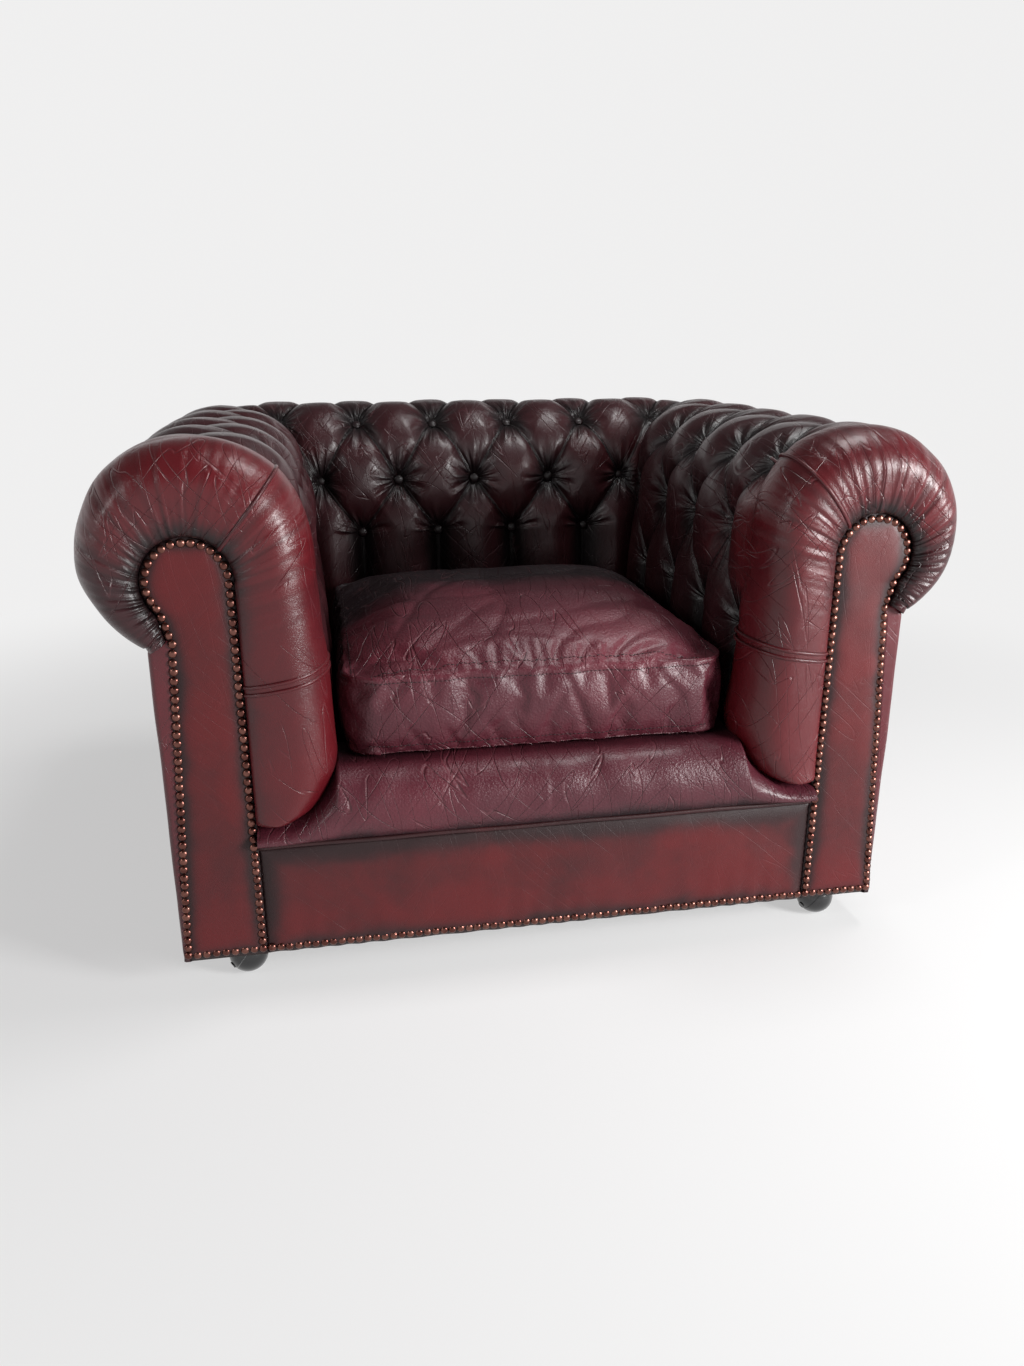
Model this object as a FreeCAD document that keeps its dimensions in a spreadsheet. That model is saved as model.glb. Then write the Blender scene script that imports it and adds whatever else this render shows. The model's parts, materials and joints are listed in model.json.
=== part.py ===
import FreeCAD, Part
import math
import os
import re
from FreeCAD import Placement, Rotation, Vector

# Deep-buttoned club armchair on four ball castors. Millimetres, +Z up, the front towards -Y.
# The origin lies on the floor, under the middle of the chair.
SIZES = [
    # whole chair
    ("front_face", -402.5, "y of the facings' front"),
    ("back_line", 227.5, "y of the back's button line"),
    ("seat_half", 325.0, "x of the arms' button line"),
    ("frame_lift", 8.0, "frame's underside above the covers' lower edge"),
    ("seat_frame_top", 194.0, "top of the rails that carry the seat"),
    ("soft_gap", 0.3, "clearance between a soft pad and its neighbour"),
    # section of arms and back, measured outward from the button line
    ("roll_offset", 75.0, "centre of the roll"),
    ("roll_height", 550.0, "height of the roll's centre"),
    ("roll_radius", 105.0, "roll at button depth"),
    ("roll_end_angle", 58.0, "degrees below level where the roll turns in"),
    ("face_in", 45.0, "inner face at seat level, inward"),
    ("bulge_height", 300.0, "where the inner face starts to turn under"),
    ("tuck_out", 20.0, "tuck-in beside the seat, outward"),
    ("tuck_height", 226.0, "height of the tuck-in"),
    ("under_drop", 108.0, "underside of the roll, at the outside panel, below the roll's centre"),
    # buttoning
    ("arm_first_button", 100.0, "front button behind the facing's front"),
    ("arm_pitch", 132.5, "button pitch along the arm"),
    ("back_pitch", 128.0, "button pitch across the back"),
    ("puff_rise", 27.0, "crown of a diamond above its buttons"),
    ("crest_rise", 15.0, "crown on top of the roll"),
    ("flute_rise", 12.0, "flutes round the outside of the roll"),
    ("pleat_share", 0.6, "how deep a pleat lies between two buttons"),
    ("corner_blend", 60.0, "length over which the tufts die into the corner"),
    ("arm_row_up", 72.0, "arm's top buttons above the roll's centre"),
    ("arm_row_step", 87.0, "arm's middle buttons below its top ones"),
    ("arm_low_step", 125.0, "arm's lowest buttons below its middle ones"),
    ("back_row_up", 88.0, "back's top buttons above the roll's centre"),
    ("back_row_step", 88.0, "back's middle buttons below its top ones"),
    ("back_low_step", 85.0, "back's lowest buttons below its middle ones"),
    ("button_radius", 8.0, "covered button"),
    ("button_height", 4.0, "dome of a covered button"),
    ("button_sit", 5.2, "button's rim above the bottom of its pit"),
    # rolled front of the arm
    ("nose_bulge", 18.0, "how far the front roll stands before the facing"),
    ("nose_round", 45.0, "depth of the rounding at the front"),
    # scroll outline of the facing, outward from the button line
    ("core_in", 32.0, "inner edge of the scroll"),
    ("arch_radius", 50.5, "arch of the scroll"),
    ("arch_drop", 27.0, "arch's centre below the roll's centre"),
    ("neck_out", 111.0, "neck under the arch"),
    ("neck_drop", 67.0, "neck below the arch's centre"),
    ("panel_out", 127.0, "inner side of the outside panels"),
    ("panel_thick", 8.0, "outside panels"),
    ("panel_drop", 1.0, "top of the outside panels below the roll"),
    ("facing_thick", 8.0, "padded facing"),
    ("facing_round", 3.0, "rounded edge of the facing"),
    ("post_thick", 26.0, "scroll board behind the facing"),
    ("rail_drop", 45.0, "flat underside of the roll rails below the arch's centre"),
    # base frame
    ("rail_thick", 25.0, "thickness of the base rails"),
    ("side_rail_deep", 120.0, "depth of the outer base rails"),
    ("seat_rail_deep", 64.0, "depth of the seat rails"),
    ("board_thick", 4.0, "lining boards"),
    ("board_foot", 44.0, "lining board below the top of the seat frame"),
    ("block_side", 72.0, "castor block"),
    ("block_deep", 50.0, "depth of a castor block"),
    ("back_post_side", 25.0, "rear post"),
    ("strap_wide", 50.0, "seat strap"),
    ("strap_thick", 2.0, "thickness of a seat strap"),
    ("strap_pitch", 120.0, "spacing of the seat straps"),
    ("strap_count", 5, "number of seat straps"),
    ("cloth_thick", 1.2, "dust cover"),
    # front of the seat
    ("border_top", 190.0, "top of the front border"),
    ("piping_radius", 3.0, "piping between border and lip"),
    ("lip_deep", 100.0, "lip from front to back"),
    ("lip_bulge", 18.0, "lip before the border"),
    ("seat_top", 283.0, "top of the lip and the deck"),
    ("lip_clear", 1.8, "lip's stations below the bulge of the arms"),
    ("deck_low", 213.0, "top of the deck under the arms"),
    ("seat_flat_in", 92.0, "flat seat top ends this far inside the button line"),
    ("seat_fall_in", 40.0, "fall beside it ends this far inside the button line"),
    # loose cushion
    ("cushion_half", 246.0, "half width of the cushion"),
    ("cushion_front", 36.0, "cushion behind the facing's front"),
    ("cushion_back_gap", 4.0, "cushion before the back's tufts"),
    ("cushion_box", 104.0, "height of the cushion's boxing"),
    ("cushion_crown", 56.0, "crown over the boxing"),
    ("cushion_draw", 5.0, "how far the sides draw in"),
    ("cushion_swell", 4.0, "swell of the boxing"),
    # nail rows
    ("nail_wide", 10.0, "nail heads"),
    ("nail_thick", 3.0, "height of a nail head"),
    ("nail_inset", 6.0, "middle of the nail row inside the facing's edge"),
    ("nail_rise", 9.0, "middle of the nail row above the lower edge"),
    # castors
    ("castor_beside", 67.0, "castor stems outside the arms' button line"),
    ("castor_front", 46.0, "front stems behind the facing's front"),
    ("castor_rear", 36.0, "rear stems before the back panel's lining"),
    ("ball_radius", 25.0, "ball of a castor"),
    ("ball_trail", 8.0, "ball's centre off the stem"),
    ("axle_tilt", 35.0, "degrees of the axle below level"),
    ("axle_radius", 3.0, "castor axle"),
    ("axle_hood_reach", 16.0, "axle into the hood"),
    ("axle_wheel_reach", 17.0, "axle into the wheel"),
    ("axle_play", 0.05, "running clearance of the wheel on its axle"),
    ("ball_split", 0.5, "gap between hood and wheel"),
    ("stem_radius", 4.0, "castor stem"),
    ("stem_foot", 39.0, "lower end of the stem"),
    ("stem_top", 88.0, "upper end of the stem"),
    ("collar_radius", 7.0, "collar of the stem"),
    ("collar_long", 2.1, "height of that collar above the hood"),
    ("socket_wall", 1.5, "wall of the stem socket"),
    ("socket_play", 0.05, "running clearance of the stem in its socket"),
    ("flange_radius", 12.0, "flange of the stem socket"),
    ("flange_thick", 1.6, "thickness of that flange"),
    ("thrust_gap", 0.3, "collar below the flange"),
    ("boss_radius", 4.5, "boss on the hood"),
    ("boss_rise", 1.0, "boss above the ball"),
]

doc = FreeCAD.newDocument("Armchair")
sheet = doc.addObject("Spreadsheet::Sheet", "Sizes")
for line, (alias, number, note) in enumerate(SIZES, 1):
    sheet.set(f"A{line}", note)
    sheet.set(f"B{line}", str(number))
    sheet.setAlias(f"B{line}", alias)
doc.recompute()
ALIASES = {entry[0] for entry in SIZES}
FOLLOWING = {
    "arch_height": "(roll_height - arch_drop)",
    "neck_height": "(roll_height - arch_drop - neck_drop)",
    "under_height": "(roll_height - under_drop)",
    "castor_out": "(seat_half + castor_beside)",
    "frame_foot": "(2 * ball_radius + collar_long + thrust_gap + flange_thick)",
    "skirt_height": "(frame_foot - frame_lift)",
}


def size(alias):
    return float(sheet.get(alias))


def bound(text):
    """Expression text with the sheet's name before every alias, and following sizes written out."""

    def sheet_word(found):
        word = found[0]
        if word in FOLLOWING:
            return bound(FOLLOWING[word])
        return "Sizes." + word if word in ALIASES else word

    return re.sub(r"[a-z_]+", sheet_word, text)


SUBPARTS = []


def part_of(item, label):
    """Gives a finished piece the name that its node carries."""
    item.Label = label
    SUBPARTS.append(item)
    return item


def box(name, low, span):
    item = doc.addObject("Part::Box", name)
    for axis, text in zip("xyz", low):
        item.setExpression(f".Placement.Base.{axis}", bound(text))
    for prop, text in zip(("Length", "Width", "Height"), span):
        item.setExpression(prop, bound(text))
    return item


def cylinder(name, radius, height, base=("0", "0", "0")):
    item = doc.addObject("Part::Cylinder", name)
    item.setExpression("Radius", bound(radius))
    item.setExpression("Height", bound(height))
    for axis, text in zip("xyz", base):
        item.setExpression(f".Placement.Base.{axis}", bound(text))
    return item


def joined(kind, name, base, tool):
    item = doc.addObject(kind, name)
    item.Base = base
    item.Tool = tool
    return item


def mirrored(item, label):
    """The same piece on the left of the chair."""
    twin = doc.addObject("Part::Mirroring", label)
    twin.Source = item
    twin.Normal = Vector(1, 0, 0)
    twin.Base = Vector(0, 0, 0)
    return part_of(twin, label)


def pair(item, stem):
    part_of(item, stem + "_right")
    mirrored(item, stem + "_left")


def coded(label, shape):
    item = doc.addObject("Part::Feature", label)
    item.Shape = shape
    item.Placement = Placement(Vector(0, 0, 0), Rotation())
    return part_of(item, label)


# Heights and depths that several pieces share, as expressions
FRAME_FOOT = "frame_foot"
POST_BACK = "front_face + facing_thick + post_thick"
BACK_RAIL_BACK = "back_line + panel_out - soft_gap"
BACK_RAIL_FRONT = BACK_RAIL_BACK + " - rail_thick"
SIDE_RAIL_OUT = "seat_half + panel_out - soft_gap"
SIDE_RAIL_IN = SIDE_RAIL_OUT + " - rail_thick"
CORE = "seat_half + core_in"
RAIL_UNDER = "arch_height - rail_drop"
PANEL_TOP = "under_height - panel_drop"


# Base frame of beech rails
front_rail = box(
    "FrontRail",
    (f"-({CORE} - soft_gap)", f"{POST_BACK} - rail_thick + 1", FRAME_FOOT),
    (f"2 * ({CORE} - soft_gap)", "rail_thick - 1", f"seat_frame_top - ({FRAME_FOOT})"),
)
part_of(front_rail, "front_rail")
back_rail = box(
    "BackRail",
    (f"-({SIDE_RAIL_OUT})", BACK_RAIL_FRONT, FRAME_FOOT),
    (f"2 * ({SIDE_RAIL_OUT})", "rail_thick", "side_rail_deep"),
)
part_of(back_rail, "back_rail")
side_rail = box(
    "SideRail",
    (SIDE_RAIL_IN, POST_BACK, FRAME_FOOT),
    ("rail_thick", f"{BACK_RAIL_FRONT} - ({POST_BACK})", "side_rail_deep"),
)
pair(side_rail, "side_rail")
seat_rail = box(
    "SeatRail",
    (f"{CORE} + board_thick", POST_BACK, "seat_frame_top - seat_rail_deep"),
    ("rail_thick", f"back_line + core_in + board_thick + rail_thick - ({POST_BACK})", "seat_rail_deep"),
)
pair(seat_rail, "seat_rail")
back_seat_rail = box(
    "BackSeatRail",
    (f"-({CORE} + board_thick)", "back_line + core_in + board_thick", "seat_frame_top - seat_rail_deep"),
    (f"2 * ({CORE} + board_thick)", "rail_thick", "seat_rail_deep"),
)
part_of(back_seat_rail, "back_seat_rail")
back_post = box(
    "BackPost",
    (f"{SIDE_RAIL_IN} - back_post_side", f"{BACK_RAIL_FRONT} - back_post_side", f"{FRAME_FOOT} + block_deep"),
    ("back_post_side", "back_post_side", f"{RAIL_UNDER} - ({FRAME_FOOT}) - block_deep"),
)
pair(back_post, "back_post")


# Castor blocks in the four corners, each bored for a stem socket
SOCKET_OUTER = "stem_radius + socket_play + socket_wall"
FRONT_STEM = "front_face + castor_front"
REAR_STEM = f"{BACK_RAIL_BACK} - castor_rear - rail_thick"
STEM_SPOTS = [
    ("front_left", -1, FRONT_STEM, -18.0),
    ("front_right", 1, FRONT_STEM, -30.0),
    ("rear_left", -1, REAR_STEM, 24.0),
    ("rear_right", 1, REAR_STEM, 8.0),
]
blocks = []
sockets = []
for place, side, stem_y, turn in STEM_SPOTS:
    stem_x = "castor_out" if side > 0 else "-castor_out"
    block_x = f"{SIDE_RAIL_IN} - block_side" if side > 0 else f"-({SIDE_RAIL_IN})"
    block_y = POST_BACK if stem_y == FRONT_STEM else f"{BACK_RAIL_FRONT} - block_side"
    block = box("Block_" + place, (block_x, block_y, FRAME_FOOT), ("block_side", "block_side", "block_deep"))
    bore = cylinder("BlockBore_" + place, SOCKET_OUTER, "block_deep + 2", (stem_x, stem_y, f"{FRAME_FOOT} - 1"))
    blocks.append(joined("Part::Cut", "BoredBlock_" + place, block, bore))
    tube = cylinder("Tube_" + place, SOCKET_OUTER, f"stem_top + 2 - ({FRAME_FOOT})", (stem_x, stem_y, FRAME_FOOT))
    flange = cylinder(
        "Flange_" + place, "flange_radius", "flange_thick", (stem_x, stem_y, f"{FRAME_FOOT} - flange_thick")
    )
    inside = cylinder(
        "SocketBore_" + place, "stem_radius + socket_play", "stem_top + 10", (stem_x, stem_y, "0")
    )
    body = joined("Part::Fuse", "SocketBody_" + place, tube, flange)
    sockets.append(joined("Part::Cut", "Socket_" + place, body, inside))
block_group = doc.addObject("Part::Compound", "CastorBlocks")
block_group.Links = blocks
part_of(block_group, "castor_blocks")
socket_group = doc.addObject("Part::Compound", "CastorSockets")
socket_group.Links = sockets
part_of(socket_group, "castor_sockets")


# Outlines drawn in sketches on the plane across the chair, extruded towards the back
def outline_sketch(body, name, corners, arch=None):
    """Closed outline through the corners; the arch replaces the line after the corner it names."""
    sketch = body.newObject("Sketcher::SketchObject", name)
    plane = [item for item in body.Origin.OriginFeatures if item.Role == "XZ_Plane"][0]
    sketch.AttachmentSupport = [(plane, "")]
    sketch.MapMode = "FlatFace"
    points = [tuple(evaluate(text) for text in corner) for corner in corners]
    count = len(points)
    for index, start in enumerate(points):
        end = points[(index + 1) % count]
        if arch and index == arch[0]:
            centre = tuple(evaluate(text) for text in arch[1])
            radius = evaluate(arch[2])
            first = math.atan2(end[1] - centre[1], end[0] - centre[0])
            circle = Part.Circle(Vector(centre[0], centre[1], 0), Vector(0, 0, 1), radius)
            sketch.addGeometry(Part.ArcOfCircle(circle, first, math.pi), False)
        else:
            sketch.addGeometry(Part.LineSegment(Vector(*start, 0), Vector(*end, 0)), False)
    import_constraints(sketch, corners, arch, count)
    return sketch


def evaluate(text):
    """Number that an expression of sheet sizes stands for now."""
    probe = doc.getObject("Probe") or doc.addObject("App::FeaturePython", "Probe")
    if "Result" not in probe.PropertiesList:
        probe.addProperty("App::PropertyFloat", "Result")
    probe.setExpression("Result", bound(text))
    doc.recompute([probe], True, True)
    value = float(probe.Result)
    probe.setExpression("Result", None)
    return value


def import_constraints(sketch, corners, arch, count):
    """Joins the edges end to end and ties every corner to the sheet."""
    import Sketcher

    arc = arch[0] if arch else -1
    for index in range(count):
        following = (index + 1) % count
        here = 1 if index == arc else 2
        there = 2 if following == arc else 1
        sketch.addConstraint(Sketcher.Constraint("Coincident", index, here, following, there))
    for index, corner in enumerate(corners):
        point = 2 if index == arc else 1
        for kind, text in zip(("DistanceX", "DistanceY"), corner):
            if arch and index == arc + 1 and kind == "DistanceX":
                continue
            if arch and index == arc and kind == "DistanceX":
                continue
            number = sketch.addConstraint(Sketcher.Constraint(kind, -1, 1, index, point, evaluate(text)))
            sketch.setExpression(f"Constraints[{number}]", bound(text))
    if arch:
        for kind, text in zip(("DistanceX", "DistanceY"), arch[1]):
            number = sketch.addConstraint(Sketcher.Constraint(kind, -1, 1, arc, 3, evaluate(text)))
            sketch.setExpression(f"Constraints[{number}]", bound(text))
        number = sketch.addConstraint(Sketcher.Constraint("Radius", arc, evaluate(arch[2])))
        sketch.setExpression(f"Constraints[{number}]", bound(arch[2]))


def extruded(name, corners, start, depth, arch=None):
    """Body padded towards the back from the depth that the start names."""
    body = doc.addObject("PartDesign::Body", name)
    sketch = outline_sketch(body, name + "Sketch", corners, arch)
    sketch.setExpression(".AttachmentOffset.Base.z", bound(f"-({start})"))
    pad = body.newObject("PartDesign::Pad", name + "Pad")
    pad.Profile = sketch
    pad.Reversed = True
    pad.setExpression("Length", bound(depth))
    doc.recompute()
    return body


ARCH_CENTRE = (f"{CORE} + arch_radius", "arch_height")
ARCH_END_DROP = "arch_radius * 0.7"
ARCH_END = (f"{CORE} + arch_radius + arch_radius * sqrt(1 - 0.49)", f"arch_height - {ARCH_END_DROP}")
NECK = ("seat_half + neck_out", "neck_height")


# Scroll boards, and the padded facings on their fronts
def scroll_corners(foot, shoulder):
    return [(CORE, foot), (CORE, "arch_height"), ARCH_END, NECK] + shoulder


post = extruded(
    "FrontPost",
    scroll_corners(FRAME_FOOT, [(SIDE_RAIL_OUT, PANEL_TOP), (SIDE_RAIL_OUT, FRAME_FOOT)]),
    "front_face + facing_thick",
    "post_thick",
    (1, ARCH_CENTRE, "arch_radius"),
)
pair(post, "front_post")
facing = extruded(
    "Facing",
    scroll_corners("skirt_height", [(SIDE_RAIL_OUT, "skirt_height")]),
    "front_face",
    "facing_thick",
    (1, ARCH_CENTRE, "arch_radius"),
)
front_edges = [
    f"Edge{number}"
    for number, edge in enumerate(facing.Shape.Edges, 1)
    if edge.BoundBox.YMax < size("front_face") + 0.01 and edge.Length > 50
]
facing_pad = facing.Tip
rounding = facing.newObject("PartDesign::Fillet", "FacingRound")
rounding.Base = (facing_pad, front_edges)
rounding.setExpression("Radius", bound("facing_round"))
facing.Tip = rounding
pair(facing, "facing")


# Outside panels; those of the arms turn round the front beside the facing
neck_share = f"(neck_height - ({PANEL_TOP})) / (neck_height - skirt_height)"
return_top = f"{NECK[0]} + ({SIDE_RAIL_OUT} - ({NECK[0]})) * {neck_share} + soft_gap"
return_in = (return_top, f"{SIDE_RAIL_OUT} + soft_gap")
turned = extruded(
    "ArmPanelFront",
    [
        (f"{return_in[1]} + panel_thick", "skirt_height"),
        (f"{return_in[1]} + panel_thick", PANEL_TOP),
        (return_in[0], PANEL_TOP),
        (return_in[1], "skirt_height"),
    ],
    "front_face",
    "facing_thick",
)
flat = box(
    "ArmPanelSide",
    ("seat_half + panel_out", "front_face", "skirt_height"),
    ("panel_thick", "back_line + panel_out + panel_thick - front_face", f"{PANEL_TOP} - skirt_height"),
)
pair(joined("Part::Fuse", "ArmPanel", flat, turned), "arm_outside")
back_panel = box(
    "BackPanel",
    (f"-({SIDE_RAIL_OUT})", "back_line + panel_out", "skirt_height"),
    (f"2 * ({SIDE_RAIL_OUT})", "panel_thick", f"{PANEL_TOP} - skirt_height"),
)
part_of(back_panel, "back_outside")


# Rails inside the rolls, rounded on top like the scroll boards and mitred at the rear corners
def corner_wedge(name, keep_arm):
    """Half of the plan on one side of the right-hand mitre, as a turned block."""
    item = doc.addObject("Part::Box", name)
    item.Length, item.Width, item.Height = 2000, 1500, 1500
    shift = 0 if keep_arm else 1500
    slip = shift / math.sqrt(2)
    item.Placement.Rotation = Rotation(Vector(0, 0, 1), 45)
    item.setExpression(".Placement.Base.x", bound(f"seat_half - {1000 / math.sqrt(2)} + {slip}"))
    item.setExpression(".Placement.Base.y", bound(f"back_line - {1000 / math.sqrt(2)} - {slip}"))
    return item


RAIL_HEEL = f"({RAIL_UNDER} - neck_height) / ({ARCH_END[1]} - neck_height)"
RAIL_HEEL_OUT = f"{NECK[0]} + ({ARCH_END[0]} - ({NECK[0]})) * {RAIL_HEEL} - soft_gap"
RAIL_CORNERS = [(CORE, RAIL_UNDER), (CORE, "arch_height"), ARCH_END, (RAIL_HEEL_OUT, RAIL_UNDER)]
arm_rail_bar = extruded(
    "ArmRailBar", RAIL_CORNERS, POST_BACK, f"back_line + 200 - ({POST_BACK})", (1, ARCH_CENTRE, "arch_radius")
)
arm_rail = joined("Part::Cut", "ArmRail", arm_rail_bar, corner_wedge("ArmMitre", True))
pair(arm_rail, "arm_rail")
back_bar = extruded(
    "BackRailBar",
    [(text.replace("seat_half", "back_line"), up) for text, up in RAIL_CORNERS],
    "-seat_half - 200",
    "2 * seat_half + 400",
    (1, (ARCH_CENTRE[0].replace("seat_half", "back_line"), ARCH_CENTRE[1]), "arch_radius"),
)
turned_bar = doc.addObject("Part::Mirroring", "BackRailTurned")
turned_bar.Source = back_bar
turned_bar.Normal = Vector(1, -1, 0)
right_wedge = corner_wedge("BackMitreRight", False)
left_wedge = doc.addObject("Part::Mirroring", "BackMitreLeft")
left_wedge.Source = right_wedge
left_wedge.Normal = Vector(1, 0, 0)
wedges = joined("Part::Fuse", "BackMitres", right_wedge, left_wedge)
part_of(joined("Part::Cut", "BackTopRail", turned_bar, wedges), "back_top_rail")


# Lining boards inside the arms and the back, seat straps and dust cover
arm_board = box(
    "ArmBoard",
    (CORE, POST_BACK, "seat_frame_top - board_foot"),
    ("board_thick", f"back_line + core_in - ({POST_BACK})", f"{RAIL_UNDER} - seat_frame_top + board_foot"),
)
pair(arm_board, "arm_board")
BOARD_FOOT = "seat_frame_top + strap_thick + soft_gap"
back_board = box(
    "BackBoard",
    (f"-({CORE})", "back_line + core_in", BOARD_FOOT),
    (f"2 * ({CORE})", "board_thick", f"{RAIL_UNDER} - ({BOARD_FOOT})"),
)
part_of(back_board, "back_board")
strap = box(
    "Strap",
    ("-strap_wide / 2", "front_face + facing_thick + 6", "seat_frame_top"),
    ("strap_wide", "back_line + core_in + board_thick + 18 - (front_face + facing_thick + 6)", "strap_thick"),
)
straps = []
for number in range(int(size("strap_count"))):
    copy = doc.addObject("Part::Feature", f"Strap{number}")
    offset = (number - (size("strap_count") - 1) / 2) * size("strap_pitch")
    doc.recompute()
    copy.Shape = strap.Shape.translated(Vector(offset, 0, 0))
    straps.append(copy)
strap_group = doc.addObject("Part::Compound", "SeatStraps")
strap_group.Links = straps
part_of(strap_group, "seat_webbing")
cloth = box(
    "Cloth",
    (f"-({SIDE_RAIL_OUT})", "front_face + facing_thick + soft_gap", f"{FRAME_FOOT} - cloth_thick"),
    (
        f"2 * ({SIDE_RAIL_OUT})",
        f"{BACK_RAIL_BACK} - (front_face + facing_thick + soft_gap)",
        "cloth_thick",
    ),
)
for place, side, stem_y, turn in STEM_SPOTS:
    stem_x = "castor_out" if side > 0 else "-castor_out"
    hole = cylinder("ClothHole_" + place, "flange_radius + 1", "100", (stem_x, stem_y, "0"))
    cloth = joined("Part::Cut", "Cloth_" + place, cloth, hole)
part_of(cloth, "dust_cover")


# Front border with its rounded edges, and the piping on top of it
border = box(
    "Border",
    (f"-({CORE} - soft_gap)", "front_face", "skirt_height"),
    (f"2 * ({CORE} - soft_gap)", "facing_thick", "border_top - skirt_height"),
)
doc.recompute()
border_edges = [
    number
    for number, edge in enumerate(border.Shape.Edges, 1)
    if edge.BoundBox.YMax < size("front_face") + 0.01
]
soft_border = doc.addObject("Part::Fillet", "SoftBorder")
soft_border.Base = border
soft_border.Edges = [(number, size("facing_round"), size("facing_round")) for number in border_edges]
part_of(soft_border, "front_border")
piping = cylinder(
    "Piping",
    "piping_radius",
    f"2 * ({CORE} - soft_gap)",
    (f"-({CORE} - soft_gap)", "front_face + piping_radius / 2", "border_top + piping_radius + 0.1"),
)
piping.Placement.Rotation = Rotation(Vector(0, 1, 0), 90)
part_of(piping, "border_piping")


# Section of arm and back: a path that starts at the tuck-in beside the seat, climbs the inner face,
# runs over the roll and ends at the outside panel. Lengths along it are measured from the tuck-in.
ROLL = (size("roll_offset"), size("roll_height"))
ROLL_RADIUS = size("roll_radius")
TUCK = (size("tuck_out"), size("tuck_height"))
FACE_FOOT = (-size("face_in"), size("bulge_height"))
FACE_TOP = (ROLL[0] - ROLL_RADIUS, ROLL[1])
SKIN_END = (size("panel_out") + size("panel_thick"), evaluate("under_height"))
LOW = 0.25 * 2 * math.pi * (TUCK[0] - FACE_FOOT[0] + FACE_FOOT[1] - TUCK[1]) / 2
FACE = math.dist(FACE_FOOT, FACE_TOP)
TURN = math.radians(180 + size("roll_end_angle")) * ROLL_RADIUS
ROLL_END = (
    ROLL[0] + ROLL_RADIUS * math.cos(math.radians(size("roll_end_angle"))),
    ROLL[1] - ROLL_RADIUS * math.sin(math.radians(size("roll_end_angle"))),
)
TAIL = math.dist(ROLL_END, SKIN_END)
PATH_END = LOW + FACE + TURN + TAIL
CREST = LOW + FACE + math.pi / 2 * ROLL_RADIUS
OUTERMOST = LOW + FACE + math.pi * ROLL_RADIUS


def mixed(first, second, share):
    return tuple(a + (b - a) * share for a, b in zip(first, second))


def path_point(length):
    """Point on the button-depth path and the direction out of the padding there."""
    if length < LOW:
        angle = length / LOW * math.pi / 2
        wide = TUCK[0] - FACE_FOOT[0]
        high = FACE_FOOT[1] - TUCK[1]
        point = (TUCK[0] - wide * math.sin(angle), TUCK[1] + high * (1 - math.cos(angle)))
        along = (-wide * math.cos(angle), high * math.sin(angle))
    elif length < LOW + FACE:
        point = mixed(FACE_FOOT, FACE_TOP, (length - LOW) / FACE)
        along = (FACE_TOP[0] - FACE_FOOT[0], FACE_TOP[1] - FACE_FOOT[1])
    elif length < LOW + FACE + TURN:
        angle = math.pi - (length - LOW - FACE) / ROLL_RADIUS
        point = (ROLL[0] + ROLL_RADIUS * math.cos(angle), ROLL[1] + ROLL_RADIUS * math.sin(angle))
        along = (math.sin(angle), -math.cos(angle))
    else:
        point = mixed(ROLL_END, SKIN_END, (length - LOW - FACE - TURN) / TAIL)
        along = (SKIN_END[0] - ROLL_END[0], SKIN_END[1] - ROLL_END[1])
    scale = math.hypot(*along)
    return point, (-along[1] / scale, along[0] / scale)


def length_at(height):
    """Length along the path where the inner side reaches a height."""
    if height < FACE_TOP[1]:
        return LOW + FACE * (height - FACE_FOOT[1]) / (FACE_TOP[1] - FACE_FOOT[1])
    return LOW + FACE + ROLL_RADIUS * math.asin((height - ROLL[1]) / ROLL_RADIUS)


def along_table(value, table):
    for (low, first), (high, second) in zip(table, table[1:]):
        if value <= high:
            return first + (second - first) * max(0.0, (value - low) / (high - low))
    return table[-1][1]


def tuft(columns, rows):
    """Share of the full crown at a place counted in button columns and rows, 0 at every button."""
    first = math.pi * (columns + rows / 2)
    second = math.pi * (columns - rows / 2)
    pleated = math.sqrt(abs(math.cos(first) * math.cos(second)))
    pitted = 1 - abs(math.sin(first) * math.sin(second))
    share = size("pleat_share")
    return share * pleated + (1 - share) * pitted


def padded_side(row_heights):
    """Row lengths, crown heights and stations of one buttoned side."""
    three, two, one = [length_at(height) for height in row_heights]
    rows = [(three, 3.0), (two, 2.0), (one, 1.0), (CREST, 0.0)]
    crowns = [
        (0.0, 0.0),
        (LOW * 0.5, size("puff_rise") * 0.7),
        (LOW, size("puff_rise")),
        (one, size("puff_rise")),
        (CREST, size("crest_rise")),
        (OUTERMOST, size("flute_rise")),
        (PATH_END, 0.0),
    ]
    half_out = (CREST + OUTERMOST) / 2
    stations = [0.0, LOW / 2, LOW, three, (three + two) / 2, two, (two + one) / 2, one, (one + CREST) / 2, CREST]
    stations += [half_out, OUTERMOST, PATH_END]
    return rows, crowns, stations


def skin_point(side, length, columns, settled, corner=0.0, front=0.0):
    """Point of the leather; it dies into the corner and is plain and full at the rolled front."""
    rows, crowns, stations = side
    point, outward = path_point(length)
    crown = along_table(length, crowns)
    share = tuft(columns, along_table(length, rows)) if settled else 1.0
    plain = 0.62 if length > rows[2][0] else 0.12
    share = share * (1 - corner) + plain * corner
    share = share * (1 - front) + 0.96 * front
    return (point[0] + outward[0] * crown * share, point[1] + outward[1] * crown * share)


# The wood under the pad, from the neck over the arch and down the inner face
GAP = size("soft_gap")
ARCH = (size("core_in") + size("arch_radius"), evaluate("arch_height"))
NECK_SPOT = (size("neck_out"), evaluate("neck_height"))
ARCH_SKIN = size("arch_radius") + GAP


def arch_point(degrees):
    angle = math.radians(degrees)
    return (ARCH[0] + ARCH_SKIN * math.cos(angle), ARCH[1] + ARCH_SKIN * math.sin(angle))


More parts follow.
